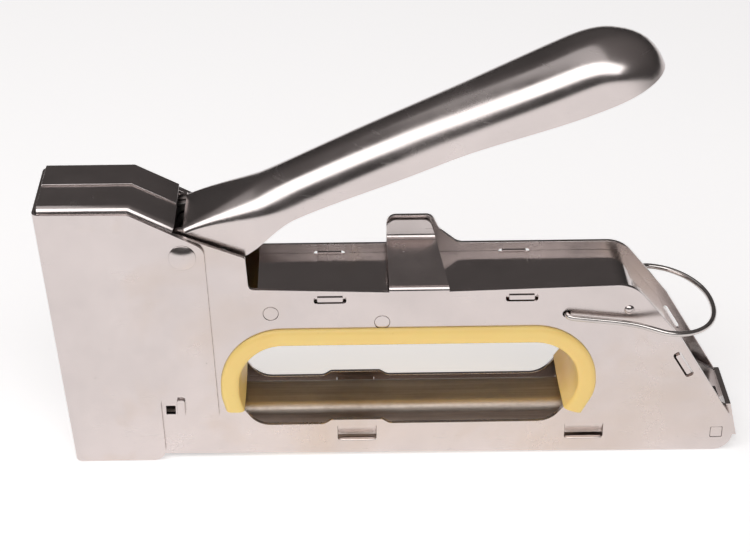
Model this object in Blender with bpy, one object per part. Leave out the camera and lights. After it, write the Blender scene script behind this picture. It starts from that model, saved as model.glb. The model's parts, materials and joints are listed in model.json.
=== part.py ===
"""Hand staple gun: pressed steel housing, wrapped nose cover, squeeze handle, spring driver,
slide-out staple magazine and wire handle lock.

Units are metres. +X runs from the nose to the rear, +Y to the right side plate and +Z up.
The origin is the middle of the nose foot, the hardened face that is held on the work.
Outlines are drawn in millimetres in the XZ plane and turned into metres by the helpers.
"""
import math

import bmesh
import bpy
from mathutils import Vector

MM = 0.001

# ---- Driving sizes, in millimetres ---------------------------------------------------------
# Sheets and clearances
SHEET = 1.2                    # side plate steel
COVER_SHEET = 0.8              # nose cover steel
HANDLE_SHEET = 1.2
THIN_SHEET = 0.8               # magazine steel
GAP = 0.3                      # clearance between touching pieces
BITE = 0.4                     # how deep a welded detail is sunk into its sheet

# Housing
BODY_WIDTH = 25.4              # over the two side plates
HALF = BODY_WIDTH / 2          # outer face of a side plate
INNER = HALF - SHEET           # inner face of a side plate
COVER_HALF = HALF + GAP + COVER_SHEET          # outer face of the cover's sides
NOSE_LEAN = 5.8 / 74.7         # the nose leans forward as it rises
NOSE_FRONT = -2.1              # front of the nose at the floor
NOSE_HEIGHT = 75.9             # top of the nose flanges
NOSE_CORNER_X = 16.4           # where the nose top turns down to the handle pivot
NOSE_SLOPE = 0.52              # fall per length of the slanted edge from there to the grip
FLANGE_END_X = 27.7
FLANGE_BEND = 2.0              # radius of the flanges' fold
FLANGE_STEP = 0.4              # the right flange lies this much higher than the left one
PLATE_FRONT = NOSE_FRONT + COVER_SHEET + 0.5   # the plates' front edge, inside the cover
BASE_FRONT_Z = 1.5
GRIP_TOP_Z = 51.6
GRIP_START_X = 45.9
GRIP_START_SET = 0.6           # the step down to the grip leans back this much
REAR_X = 175.3
REAR_CORNERS = ((145.6, GRIP_TOP_Z, 9.0), (158.9, 35.3, 12.0), (REAR_X - 0.5, 9.2, 3.0))

# Nose cover: its outline behind the nose, as (x, z, radius)
COVER_HEIGHT = 74.5
COVER_EDGE = ((22.3, 0.0, 3.0), (21.6, 19.9, 2.0), (28.3, 19.9, 1.0), (28.4, 13.4, 0.4),
              (37.0, 13.4, 0.4), (34.9, 64.4, 3.5))

# Grip strip
STRIP_RECESS = 2.6             # below the plates' edges
STRIP_SET = 2.1                # behind the plates' step down to the grip
STRIP_REAR_SHARE = 0.62        # how far down the rear slant the strip reaches
STRIP_TABS = ((0, 18.8), (0, 68.5), (2, 7.3))  # run of the strip, and distance along it
TAB_LENGTH = 6.6
TAB_HEIGHT = 1.3
SLOT_END_ROOM = 0.9             # between a tab and each end of its slot
SLOT_SIDE_ROOM = 0.5

# Bridge over the grip strip: a tab folded from the left plate up to an upright behind it
HUMP_FRONT_X = 82.1
HUMP_REAR_X = 97.7
HUMP_TOP_Z = 60.1
HUMP_FOLD_Z = 54.6
HUMP_NARROWING = 2.5           # the slanted rear edge comes forward this much up to the fold
HUMP_BEND = 1.2
HUMP_CORNER = 2.5
UPRIGHT_NARROWING = 1.5
UPRIGHT_STEP = 0.6             # the left plate's upright ends this much below the right one's
HUMP_REAR_CURVE = ((101.5, GRIP_TOP_Z, 4.0), (96.3, 55.8, 3.0), (94.3, HUMP_TOP_Z, HUMP_CORNER))

# Finger opening and its liner
WINDOW_TOP_Z = 35.0
WINDOW_BOTTOM_Z = 10.0
WINDOW_FRONT_X = 42.5
WINDOW_REAR_X = 132.2
WINDOW_RADIUS = 12.0
SILL_SLANT = 3.5               # run of the sill's corners
SILL_RADIUS = 7.0
LINER_BAND = 4.8               # width of the liner's rim
LINER_RIM = 1.1                # how far the rim stands off the plate
LINER_WALL = 1.8
LINER_EDGE = 0.4               # soft edge of the rim
LINER_BEND_Z = 21.0            # where the legs begin to turn in
LINER_BEND = 6.0
LINER_FRONT_HOOK = 1.2         # how far each leg turns in at its end
LINER_REAR_HOOK = 3.4
LINER_FRONT_END_Z = 15.0
LINER_REAR_END_Z = 13.0

# Plate details
SPACER_PINS = ((51.4, 44.5), (80.3, 41.5))
SPACER_RADIUS = 1.75
SPACER_SHOULDER = 2.6
LOUVRES = ((73.6, 5.0), (134.6, 4.6))          # middle and lower edge of each pocket
LOUVRE_WIDTH = 10.4
LOUVRE_HEIGHT = 4.6
LOUVRE_DEPTH = 1.6
LOUVRE_LIP = 1.2               # the tongue ends this much above its opening's lower edge
TENON_X = (168.9, 172.2)
TENON_Z = (4.0, 7.3)
CATCH_HOLE_X = (22.9, 25.4)
CATCH_HOLE_Z = (13.9, 16.6)
CATCH_LUG_X = (25.9, 28.0)
CATCH_LUG_Z = (14.0, 18.8)
DIMPLE = (144.6, 44.3)
DIMPLE_RADIUS = 1.4
DIMPLE_HEIGHT = 0.8

# Handle, along a line that rises from its pivot
PIVOT = (29.4, 61.9)           # X and Z
PIN_RADIUS = 2.5
PIN_HEAD_RADIUS = 3.5
PIN_HEAD_HEIGHT = 0.9
PIN_HEAD_ROUND = 0.4
HANDLE_SLOPE = math.radians(25.0)
HANDLE_LENGTH = 130.0
HANDLE_SIDE_GAP = 0.9          # between a cheek and a side plate
HANDLE_HALF_FRONT = INNER - HANDLE_SIDE_GAP
HANDLE_SWELL = 2.6             # how much wider each side is at the tip
HANDLE_SWELL_S = (60.0, 108.0)
HANDLE_WAIST = 0.4
HANDLE_FRONT = 4.4             # where the web begins
HANDLE_TOP = ((4.4, 5.9), (56, 6.5), (108, 5.9))       # crown above the pivot line
HANDLE_LOW = ((4.4, -7.0), (13, -8.1), (30, -4.3), (70, -5.9), (118, -9.0))
HANDLE_SHOULDER = ((4.4, 1.8), (32, 9.0), (130, 9.0))  # how far the web's corners are rounded
HANDLE_BARREL = (9, 14, 20, 27, 36, 48, 62, 76, 90, 100)   # stations before the tip
TIP_CROWN = 22.0               # length over which the crown closes
TIP_SIDES = 15.0               # length over which the sides close
TIP_ROUND = (2.4, 2.2)         # how full the crown and the sides stay
TIP_GAPS = (22.0, 16.0, 11.5, 7.5, 4.5, 2.2, 0.8)      # stations before the very end
LOBE_RADIUS = 6.5

# Lift lever
LEVER_PIN = (39.6, 61.4)
LEVER_PIN_RADIUS = 1.5
LEVER_SIDE_GAP = 0.5
LEVER_SHEET = 1.6
LEVER_OUTER = HANDLE_HALF_FRONT - HANDLE_SHEET - LEVER_SIDE_GAP
LEVER_OUTLINE = ((11.8, 46.0, 2.0), (26.4, 67.2, 5.0), (42.0, 65.0, 3.0), (43.0, 57.6, 3.0),
                 (34.5, 55.5, 4.0), (14.0, 43.0, 3.0), (4.9, 43.0, 1.0), (4.5, 46.0, 1.2))
LEVER_WEB_X = (36.0, 42.0)
LEVER_WEB_Z = (57.2, 58.8)

# Staples, and what is sized from them
STAPLE_CROWN = 11.4
STAPLE_WIRE = 0.8
STAPLE_LEG = 6.8
STAPLE_STACK = 30.0
RAIL_CLEARANCE = 0.2
CHANNEL_CLEARANCE = 1.0
RAIL_WIDTH = STAPLE_CROWN - 2 * (STAPLE_WIRE + RAIL_CLEARANCE)
MAGAZINE_WIDTH = STAPLE_CROWN + 2 * (CHANNEL_CLEARANCE + THIN_SHEET)
DRIVER_WIDTH = STAPLE_CROWN
RAIL_TOP = 9.6
STAPLE_TOP = RAIL_TOP + GAP + STAPLE_WIRE
MAGAZINE_TOP = STAPLE_TOP + THIN_SHEET + 0.9
MAGAZINE_BOTTOM = 2.6
MAGAZINE_FRONT = 3.3
MAGAZINE_REAR = 168.0
MAGAZINE_BEND = 1.8

# Driver and what surrounds it, from the front to the rear of the nose
GUIDE_THICK = 2.0
GUIDE_X = NOSE_FRONT + COVER_SHEET + GAP
GUIDE_TOP = 41.0
GUIDE_HALF = STAPLE_CROWN / 2 + 2.3
DRIVER_THICK = 1.1
DRIVER_BOTTOM = 0.4
DRIVER_ABOVE = 6.0             # how far the blade reaches above the hammer
DRIVER_X = GUIDE_X + GUIDE_THICK + GAP
BLOCK_X = DRIVER_X + DRIVER_THICK + GAP
BLOCK_DEPTH = 6.0
BLOCK_TOP = 40.0
NOSE_PIN_HEIGHTS = (20.0, 34.0)
NOSE_PIN_RADIUS = 1.5
BUMPER_HALF = 6.0
HAMMER_Z = (45.0, 50.0)
HAMMER_HALF = 6.2
SPRING_RADIUS = 5.2
SPRING_WIRE = 1.7
SPRING_TURNS = 6
SPRING_X = BLOCK_X + SPRING_RADIUS + SPRING_WIRE / 2
HAMMER_REAR = SPRING_X + SPRING_RADIUS + SPRING_WIRE / 2
EAR_X = (BLOCK_X + 1.5, BLOCK_X + 10.5)
EAR_Z = (HAMMER_Z[0] + 1.6, HAMMER_Z[1] - 0.4)
EAR_HALF = LEVER_OUTER + 0.5
POST_RADIUS = 1.0
SEAT_HALF = 6.2
SEAT_THICK = 1.4
SEAT_TOP = NOSE_HEIGHT - SHEET - GAP
SEAT_Z = SEAT_TOP - SEAT_THICK

# Magazine core
RAIL_FRONT = MAGAZINE_FRONT + GAP
RAIL_REAR = 173.0
RAIL_BOTTOM = 2.4
RAIL_BEND = 1.0
RAIL_END_X = (163.0, 165.5)
ROD_Z = 5.8
ROD_RADIUS = 0.9
ROD_SET = 6.0                  # the rod starts this far behind the rail's front
PUSHER_X = RAIL_FRONT + STAPLE_STACK + GAP
PUSHER_LENGTH = 12.0
PUSHER_TRAVEL = 60.0
PUSHER_SLOT_X = (PUSHER_X + 4.0, PUSHER_X + PUSHER_LENGTH + PUSHER_TRAVEL + 1.0)
PUSHER_WIRE = 0.6
PUSHER_TURNS = 18
TONGUE_LENGTH = 3.0
TONGUE_HALF = 1.0
FOOT_SIDE_GAP = 0.7            # between the foot and each wall of the rail
FOOT_HALF = RAIL_WIDTH / 2 - THIN_SHEET - FOOT_SIDE_GAP
STRIP_STEEL = STAPLE_WIRE - 0.1                # wall of the staple strip and of the pusher
STRIP_BEND = STRIP_STEEL + 0.3

# Latch at the rear of the magazine, and the bar that it closes under
LATCH_PIN = (170.0, 5.6)
LATCH_PIN_RADIUS = 1.2
LATCH_HALF = 9.6
LATCH_EARS = ((167.4, 3.0, 2.0), (176.2, 3.0, 0.6), (173.8, 11.6, 0.6), (167.0, 15.6, 1.0),
              (166.3, 12.8, 1.0), (167.4, 10.2, 1.0))
LATCH_THUMB = ((175.4, 2.4), (176.9, 2.4), (174.6, 12.4), (173.2, 12.4))
KEEPER_X = (163.6, 165.8)
KEEPER_Z = (MAGAZINE_TOP + 0.8, MAGAZINE_TOP + 4.0)

# Lock wire
BAIL_PIVOT = (128.3, 43.3)
BAIL_WIRE = 1.5
BAIL_CLEAR = 0.35              # between the wire and the ball dimple
BAIL_LEG_Y = HALF + DIMPLE_HEIGHT + BAIL_CLEAR + BAIL_WIRE / 2
BAIL_REACH = 41.0
BAIL_RING = 14.0               # radius of the ring along its reach
BAIL_FLARE = 3.4               # how much wider than its legs the ring is on each side
BAIL_DROP = math.radians(-7.0)
BAIL_ARC = math.radians(97.0)

ARC_STEPS = 4                  # facets of the handle's rounded shoulders

CHROME = (0.80, 0.76, 0.75, 1.0)
DARK_STEEL = (0.32, 0.31, 0.31, 1.0)
SPRING_STEEL = (0.45, 0.44, 0.43, 1.0)
YELLOW = (0.93, 0.58, 0.16, 1.0)
RUBBER = (0.03, 0.03, 0.03, 1.0)


# ---- Helpers -------------------------------------------------------------------------------
def clear_scene():
    for obj in list(bpy.data.objects):
        bpy.data.objects.remove(obj, do_unlink=True)


def material(name, colour, roughness, metallic):
    mat = bpy.data.materials.new(name)
    mat.use_nodes = True
    shader = mat.node_tree.nodes["Principled BSDF"]
    shader.inputs["Base Color"].default_value = colour
    shader.inputs["Roughness"].default_value = roughness
    shader.inputs["Metallic"].default_value = metallic
    return mat


def lean(height):
    """Shift in X of the leaning nose at a height above the foot."""
    return -NOSE_LEAN * height


def rounded(corners, steps=4):
    """Outline from (x, z, radius) corners, with each corner turned into an arc."""
    points = []
    count = len(corners)
    for i, (x, z, radius) in enumerate(corners):
        here = Vector((x, z))
        before = (Vector(corners[i - 1][:2]) - here).normalized()
        after = (Vector(corners[(i + 1) % count][:2]) - here).normalized()
        half_angle = before.angle(after) / 2
        if radius <= 0 or half_angle > math.radians(89):
            points.append(here)
            continue
        centre = here + (before + after).normalized() * (radius / math.sin(half_angle))
        start = here + before * (radius / math.tan(half_angle)) - centre
        end = here + after * (radius / math.tan(half_angle)) - centre
        sweep = start.angle_signed(end)
        for step in range(steps + 1):
            turn = -sweep * step / steps
            points.append(centre + Vector((start.x * math.cos(turn) - start.y * math.sin(turn),
                                           start.x * math.sin(turn) + start.y * math.cos(turn))))
    return [(p.x, p.y) for p in points]


def circle(x, z, radius, sides=16):
    turns = [2 * math.pi * k / sides for k in range(sides)]
    return [(x + radius * math.cos(t), z + radius * math.sin(t)) for t in turns]


def box_outline(x_low, x_high, z_low, z_high):
    return [(x_low, z_low), (x_high, z_low), (x_high, z_high), (x_low, z_high)]


def leaned(outline):
    return [(x + lean(z), z) for x, z in outline]


def add_slab(bm, outline, y_low, y_high):
    """Extrude an XZ outline (mm) between two Y planes (mm)."""
    low = [bm.verts.new((x * MM, y_low * MM, z * MM)) for x, z in outline]
    high = [bm.verts.new((x * MM, y_high * MM, z * MM)) for x, z in outline]
    faces = [bm.faces.new(low), bm.faces.new(high[::-1])]
    for i in range(len(low)):
        j = (i + 1) % len(low)
        faces.append(bm.faces.new((low[j], low[i], high[i], high[j])))
    bmesh.ops.recalc_face_normals(bm, faces=faces)


def add_panel(bm, points):
    """One face of a folded sheet, from points in millimetres."""
    return bm.faces.new([bm.verts.new(Vector(p) * MM) for p in points])


def bend_edges(bm, tests, radius, segments=3):
    """Round the sheet's folds that pass any of the tests on both of their ends."""
    folds = [edge for edge in bm.edges if len(edge.link_faces) == 2
             and any(test(edge.verts[0].co / MM) and test(edge.verts[1].co / MM) for test in tests)]
    bmesh.ops.bevel(bm, geom=folds, offset=radius * MM, segments=segments,
                    affect="EDGES", profile=0.5)


def make_object(name, bm, mat, origin=(0, 0, 0), smooth=True):
    """Turn a bmesh (world metres) into a named object whose origin is given in millimetres."""
    bmesh.ops.translate(bm, verts=bm.verts, vec=-Vector(origin) * MM)
    mesh = bpy.data.meshes.new(name)
    bm.to_mesh(mesh)
    bm.free()
    if smooth:
        mesh.shade_smooth()
        mesh.set_sharp_from_angle(angle=math.radians(35))
    obj = bpy.data.objects.new(name, mesh)
    obj.location = Vector(origin) * MM
    obj.data.materials.append(mat)
    bpy.context.scene.collection.objects.link(obj)
    return obj


def slab(name, outline, y_low, y_high, mat, origin=(0, 0, 0)):
    bm = bmesh.new()
    add_slab(bm, outline, y_low, y_high)
    return make_object(name, bm, mat, origin)


def thicken(obj, thickness):
    """Give a folded sheet its thickness, behind its faces."""
    solid = obj.modifiers.new("sheet", "SOLIDIFY")
    solid.thickness = thickness * MM
    solid.offset = -1
    solid.use_even_offset = True


def combine(obj, tool, operation):
    """Cut a tool from an object, or weld it on. The tool stays as a hidden guide."""
    tool.hide_render = True
    tool.display_type = "WIRE"
    tool.parent = obj.parent
    modifier = obj.modifiers.new(operation.lower(), "BOOLEAN")
    modifier.operation = operation
    modifier.solver = "EXACT"
    modifier.object = tool


def guide(name, outlines, y_low, y_high, mat, origin=(0, 0, 0)):
    """A tool made of several separate slabs of the same depth."""
    bm = bmesh.new()
    for outline in outlines:
        add_slab(bm, outline, y_low, y_high)
    return make_object(name, bm, mat, origin)


def sweep(name, rings, mat, origin=(0, 0, 0)):
    """Closed solid through rings of points in millimetres, capped at both ends."""
    bm = bmesh.new()
    loops = [[bm.verts.new(Vector(point) * MM) for point in ring] for ring in rings]
    bm.faces.new(loops[0])
    bm.faces.new(loops[-1])
    for loop, after in zip(loops, loops[1:]):
        for i in range(len(loop)):
            j = (i + 1) % len(loop)
            bm.faces.new((loop[i], loop[j], after[j], after[i]))
    bmesh.ops.recalc_face_normals(bm, faces=bm.faces)
    return make_object(name, bm, mat, origin)


def turned(name, x, z, profile, mat, sides=20):
    """A pin along Y, from a profile of (radius, y) steps that ends on its axis."""
    bm = bmesh.new()
    rings = []
    for radius, y in profile:
        rings.append([bm.verts.new((px * MM, y * MM, pz * MM))
                      for px, pz in circle(x, z, radius, sides)])
    faces = [bm.faces.new(rings[0]), bm.faces.new(rings[-1])]
    for ring, after in zip(rings, rings[1:]):
        for i in range(sides):
            j = (i + 1) % sides
            faces.append(bm.faces.new((ring[i], ring[j], after[j], after[i])))
    bmesh.ops.recalc_face_normals(bm, faces=faces)
    return make_object(name, bm, mat, (x, 0, z))


def straight_pin(name, place, radius, half_length, mat):
    """A plain cross pin."""
    return turned(name, *place, [(radius, -half_length), (radius, half_length)], mat, 12)


def tube(name, points, wire, mat, origin=(0, 0, 0), resolution=2):
    """A round wire along points in millimetres."""
    curve = bpy.data.curves.new(name, "CURVE")
    curve.dimensions = "3D"
    curve.bevel_depth = wire / 2 * MM
    curve.bevel_resolution = resolution
    curve.use_fill_caps = True
    spline = curve.splines.new("POLY")
    spline.points.add(len(points) - 1)
    for point, target in zip(points, spline.points):
        target.co = ((Vector(point) - Vector(origin)) * MM).to_4d()
    curve.materials.append(mat)
    obj = bpy.data.objects.new(name, curve)
    obj.location = Vector(origin) * MM
    bpy.context.scene.collection.objects.link(obj)
    return obj


def coil(start, end, radius, turns, per_turn=12, closed_share=0.12):
    """Points of a compression spring from start to end, with closely wound ends."""
    axis = Vector(end) - Vector(start)
    side = axis.orthogonal().normalized()
    other = axis.normalized().cross(side)
    points = []
    count = int(turns * per_turn)
    for step in range(count + 1):
        share = step / count
        if share < closed_share:
            along = share * 0.35
        elif share > 1 - closed_share:
            along = 1 - (1 - share) * 0.35
        else:
            edge = closed_share * 0.35
            along = edge + (share - closed_share) / (1 - 2 * closed_share) * (1 - 2 * edge)
        turn = 2 * math.pi * step / per_turn
        points.append(Vector(start) + axis * along
                      + (side * math.cos(turn) + other * math.sin(turn)) * radius)
    return points


# ---- Shared outlines -----------------------------------------------------------------------


def flange_top(side):
    """Height of the nose flange of a side plate."""
    return NOSE_HEIGHT + (FLANGE_STEP if side > 0 else 0.0)


def slanted_edge(x, side):
    """Height of the plate's slanted upper edge behind the nose corner."""
    return flange_top(side) - NOSE_SLOPE * (x - NOSE_CORNER_X)


def plate_outline(side):
    """Outer edge of a side plate, from the nose foot round the rear and back over the nose."""
    top = flange_top(side)
    upper_rear = GRIP_START_X - GRIP_START_SET
    corners = [(PLATE_FRONT + lean(BASE_FRONT_Z), BASE_FRONT_Z, 0),
               (REAR_X, 0.0, 5.0), *reversed(REAR_CORNERS)]
    if side > 0:
        corners += [*HUMP_REAR_CURVE, (HUMP_FRONT_X, HUMP_TOP_Z, HUMP_CORNER),
                    (HUMP_FRONT_X, GRIP_TOP_Z, 0)]
    else:
        corners += [(HUMP_REAR_X, GRIP_TOP_Z, 0), (HUMP_FRONT_X, GRIP_TOP_Z, 0)]
    corners += [(GRIP_START_X, GRIP_TOP_Z, 1.5),
                (upper_rear, slanted_edge(upper_rear, side), 1.0),
                (FLANGE_END_X, slanted_edge(FLANGE_END_X, side), 0),
                (NOSE_CORNER_X, top, 0), (PLATE_FRONT + lean(top), top, 0)]
    return rounded(corners)


def liner_path(offset, drop=0.0):
    """Line of the arch over the finger opening, at an offset from its clear edge."""
    top = WINDOW_TOP_Z + offset
    front = WINDOW_FRONT_X - offset
    rear = WINDOW_REAR_X + offset
    radius = WINDOW_RADIUS + offset
    return rounded([(front + LINER_FRONT_HOOK, LINER_FRONT_END_Z - drop, 0),
                    (front, LINER_BEND_Z, LINER_BEND), (front, top, radius),
                    (rear, top, radius), (rear, LINER_BEND_Z, LINER_BEND),
                    (rear - LINER_REAR_HOOK, LINER_REAR_END_Z - drop, 0)], 5)


def window_outline():
    """The plates' finger opening: seated round the liner's wall, bare along the bottom."""
    arch = liner_path(LINER_WALL + GAP, GAP)
    sill = rounded([(arch[-1][0], arch[-1][1], 0),
                    (WINDOW_REAR_X - LINER_REAR_HOOK, LINER_REAR_END_Z - GAP, 0),
                    (WINDOW_REAR_X - LINER_REAR_HOOK - SILL_SLANT, WINDOW_BOTTOM_Z, SILL_RADIUS),
                    (WINDOW_FRONT_X + LINER_FRONT_HOOK + SILL_SLANT, WINDOW_BOTTOM_Z, SILL_RADIUS),
                    (WINDOW_FRONT_X + LINER_FRONT_HOOK, LINER_FRONT_END_Z - GAP, 0),
                    (arch[0][0], arch[0][1], 0)], 5)
    return arch + sill[1:-1]


# ---- Housing -------------------------------------------------------------------------------
def add_flange(bm, side):
    """Nose flange: level over the spring, then slanting down towards the pivot."""
    y = side * HALF
    seam = side * GAP / 2
    top = flange_top(side)
    front_x = PLATE_FRONT + lean(top)
    end_z = slanted_edge(FLANGE_END_X, side)
    add_panel(bm, [(front_x, y, top), (NOSE_CORNER_X, y, top),
                   (NOSE_CORNER_X, seam, top), (front_x, seam, top)])
    add_panel(bm, [(NOSE_CORNER_X, y, top), (FLANGE_END_X, y, end_z),
                   (FLANGE_END_X, seam, end_z), (NOSE_CORNER_X, seam, top)])


def add_bridge(bm, y):
    """Tab that slants from the left plate over the grip strip to an upright at the right one."""
    upright_y = INNER - GAP - SHEET
    fold_x = HUMP_REAR_X - HUMP_NARROWING
    upright_top = HUMP_TOP_Z - UPRIGHT_STEP
    add_panel(bm, [(HUMP_FRONT_X, y, GRIP_TOP_Z), (HUMP_REAR_X, y, GRIP_TOP_Z),
                   (fold_x, upright_y, HUMP_FOLD_Z), (HUMP_FRONT_X, upright_y, HUMP_FOLD_Z)])
    upright = rounded([(HUMP_FRONT_X, HUMP_FOLD_Z, 0), (fold_x, HUMP_FOLD_Z, 0),
                       (fold_x - UPRIGHT_NARROWING, upright_top, HUMP_CORNER),
                       (HUMP_FRONT_X, upright_top, HUMP_CORNER)])
    add_panel(bm, [(x, upright_y, z) for x, z in upright])


def plate_holes():
    """Outlines of everything that is cut through a side plate."""
    holes = [window_outline(), circle(*PIVOT, PIN_RADIUS + GAP), circle(*BAIL_PIVOT, BAIL_WIRE / 2 + GAP)]
    holes += [circle(x, z, SPACER_RADIUS + GAP, 12) for x, z in SPACER_PINS]
    holes += [circle(*nose_pin_place(z), NOSE_PIN_RADIUS + GAP, 12) for z in NOSE_PIN_HEIGHTS]
    holes += [strip_tab_outline(run, distance, SLOT_END_ROOM, SLOT_SIDE_ROOM)
              for run, distance in STRIP_TABS]
    holes += [box_outline(x - LOUVRE_WIDTH / 2, x + LOUVRE_WIDTH / 2, z, z + LOUVRE_HEIGHT)
              for x, z in LOUVRES]
    holes.append(box_outline(*TENON_X, *TENON_Z))
    holes.append(box_outline(*CATCH_HOLE_X, *CATCH_HOLE_Z))
    return holes


def side_plate(name, side, mats):
    """Pressed side plate with its nose flange; the left one also folds into the grip bridge."""
    y = side * HALF
    bm = bmesh.new()
    add_panel(bm, [(x, y, z) for x, z in plate_outline(side)])
    add_flange(bm, side)
    if side < 0:
        add_bridge(bm, y)
    bmesh.ops.remove_doubles(bm, verts=bm.verts, dist=1e-6)
    bmesh.ops.recalc_face_normals(bm, faces=bm.faces)
    plate_face = max(bm.faces, key=lambda face: face.calc_area())
    if plate_face.normal.y * side < 0:
        bmesh.ops.reverse_faces(bm, faces=bm.faces)
    tiny = 0.01
    flange_end_z = slanted_edge(FLANGE_END_X, side)
    bend_edges(bm, [lambda co: abs(co.y - y) < tiny and co.z > flange_end_z - tiny
                    and co.x < FLANGE_END_X + tiny], FLANGE_BEND)
    if side < 0:
        bend_edges(bm, [lambda co: abs(co.y - y) < tiny and abs(co.z - GRIP_TOP_Z) < tiny
                        and HUMP_FRONT_X - tiny < co.x < HUMP_REAR_X + tiny,
                        lambda co: abs(co.z - HUMP_FOLD_Z) < tiny], HUMP_BEND)
    plate = make_object(name, bm, mats["chrome"])
    thicken(plate, SHEET)

    low, high = sorted((side * (HALF + SHEET), side * (INNER - SHEET)))
    combine(plate, guide(name + "_holes", plate_holes(), low, high, mats["chrome"]), "DIFFERENCE")
    bm = bmesh.new()
    for x, z in LOUVRES:
        add_louvre(bm, x, z, side)
    root = side * (INNER + BITE)
    catch_low, catch_high = sorted((root, side * (HALF + COVER_SHEET + GAP)))
    add_slab(bm, box_outline(*CATCH_LUG_X, *CATCH_LUG_Z), catch_low, catch_high)
    dimple_low, dimple_high = sorted((root, side * (HALF + DIMPLE_HEIGHT)))
    add_slab(bm, circle(*DIMPLE, DIMPLE_RADIUS, 12), dimple_low, dimple_high)
    combine(plate, make_object(name + "_lugs", bm, mats["chrome"]), "UNION")
    return plate


def inset_line(depth):
    """Corners of the grip's top and rear edge, moved inwards from the plates' edge."""
    corners = [Vector((GRIP_START_X + STRIP_SET, GRIP_TOP_Z))] + [Vector(c[:2]) for c in REAR_CORNERS]
    corners[-1] = corners[-2].lerp(corners[-1], STRIP_REAR_SHARE)
    runs = [(after - here).normalized() for here, after in zip(corners, corners[1:])]
    inwards = [Vector((run.y, -run.x)) for run in runs]
    moved = [corners[0] + inwards[0] * depth]
    for here, first, second in zip(corners[1:], inwards, inwards[1:]):
        moved.append(here + (first + second) * (depth / (1 + first.dot(second))))
    moved.append(corners[-1] + inwards[-1] * depth)
    radii = [0.0] + [c[2] - depth for c in REAR_CORNERS[:-1]] + [0.0]
    return [(point.x, point.y, radius) for point, radius in zip(moved, radii)]


def strip_tab_outline(run, distance, end_room=0.0, side_room=0.0):
    """A tab's rectangle in the middle of the strip's thickness, with room round it for its slot."""
    line = [Vector(corner[:2]) for corner in inset_line(STRIP_RECESS + SHEET / 2)]
    forward = (line[run + 1] - line[run]).normalized()
    middle = line[run] + forward * distance
    along = forward * (TAB_LENGTH / 2 + end_room)
    across = Vector((-forward.y, forward.x)) * (TAB_HEIGHT / 2 + side_room)
    return [tuple(middle - along - across), tuple(middle + along - across),
            tuple(middle + along + across), tuple(middle - along + across)]


def add_louvre(bm, x, z, side):
    """A tongue that hangs from the top of its opening and is pressed inwards."""
    top = z + LOUVRE_HEIGHT + BITE
    tip = z + LOUVRE_LIP
    face = side * (HALF - 0.1)
    back = side * (INNER + 0.1)
    inward = -side * LOUVRE_DEPTH
    section = [(face, top), (back, top), (back + inward, tip), (face + inward, tip)]
    half = LOUVRE_WIDTH / 2 - GAP
    low = [bm.verts.new(((x - half) * MM, y * MM, height * MM)) for y, height in section]
    high = [bm.verts.new(((x + half) * MM, y * MM, height * MM)) for y, height in section]
    faces = [bm.faces.new(low), bm.faces.new(high[::-1])]
    for i in range(4):
        j = (i + 1) % 4
        faces.append(bm.faces.new((low[j], low[i], high[i], high[j])))
    bmesh.ops.recalc_face_normals(bm, faces=faces)


def front_cover(mats):
    """Wrap of thin sheet round the nose, with an L-shaped step behind its foot."""
    top_x = NOSE_FRONT + lean(COVER_HEIGHT)
    side_outline = rounded([(NOSE_FRONT, 0.0, 0), *COVER_EDGE,
                            (NOSE_CORNER_X, COVER_HEIGHT - GAP, 2.0), (top_x, COVER_HEIGHT, 0)])
    bm = bmesh.new()
    for side in (-1, 1):
        add_panel(bm, [(x, side * COVER_HALF, z) for x, z in side_outline])
    add_panel(bm, [(NOSE_FRONT, -COVER_HALF, 0), (NOSE_FRONT, COVER_HALF, 0),
                   (top_x, COVER_HALF, COVER_HEIGHT), (top_x, -COVER_HALF, COVER_HEIGHT)])
    bmesh.ops.remove_doubles(bm, verts=bm.verts, dist=1e-6)
    bmesh.ops.recalc_face_normals(bm, faces=bm.faces)
    bm.faces.ensure_lookup_table()
    if bm.faces[0].normal.y > 0:
        bmesh.ops.reverse_faces(bm, faces=bm.faces)
    bend_edges(bm, [lambda co: abs(abs(co.y) - COVER_HALF) < 0.01
                    and abs(co.x - NOSE_FRONT - lean(co.z)) < 0.01], FLANGE_BEND, 4)
    cover = make_object("front_cover", bm, mats["chrome"])
    thicken(cover, COVER_SHEET)
    combine(cover, guide("front_cover_holes", [circle(*PIVOT, PIN_RADIUS + GAP)],
                         -COVER_HALF - SHEET, COVER_HALF + SHEET, mats["chrome"]), "DIFFERENCE")
    return cover


def nose_pin_place(height):
    """Middle of a cross pin through the nose block."""
    return BLOCK_X + BLOCK_DEPTH / 2 + lean(height), height


def nose_slab(name, x_low, x_high, z_low, z_high, half_width, mat):
    """A flat piece of the nose that leans with it."""
    return slab(name, leaned(box_outline(x_low, x_high, z_low, z_high)),
                -half_width, half_width, mat)


def grip_strip(mats):
    """Strip between the plates along the grip and down the rear, with tabs into the plates."""
    width = INNER - GAP
    path = rounded(inset_line(STRIP_RECESS))
    bm = bmesh.new()
    low = [bm.verts.new((x * MM, -width * MM, z * MM)) for x, z in path]
    high = [bm.verts.new((x * MM, width * MM, z * MM)) for x, z in path]
    for i in range(len(path) - 1):
        bm.faces.new((low[i], low[i + 1], high[i + 1], high[i]))
    bmesh.ops.recalc_face_normals(bm, faces=bm.faces)
    bm.faces.ensure_lookup_table()
    if bm.faces[0].normal.z < 0:
        bmesh.ops.reverse_faces(bm, faces=bm.faces)
    strip = make_object("grip_strip", bm, mats["chrome"])
    thicken(strip, SHEET)
    tabs = guide("grip_strip_tabs", [strip_tab_outline(run, distance)
                                     for run, distance in STRIP_TABS], -HALF, HALF, mats["chrome"])
    combine(strip, tabs, "UNION")
    return strip


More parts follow.
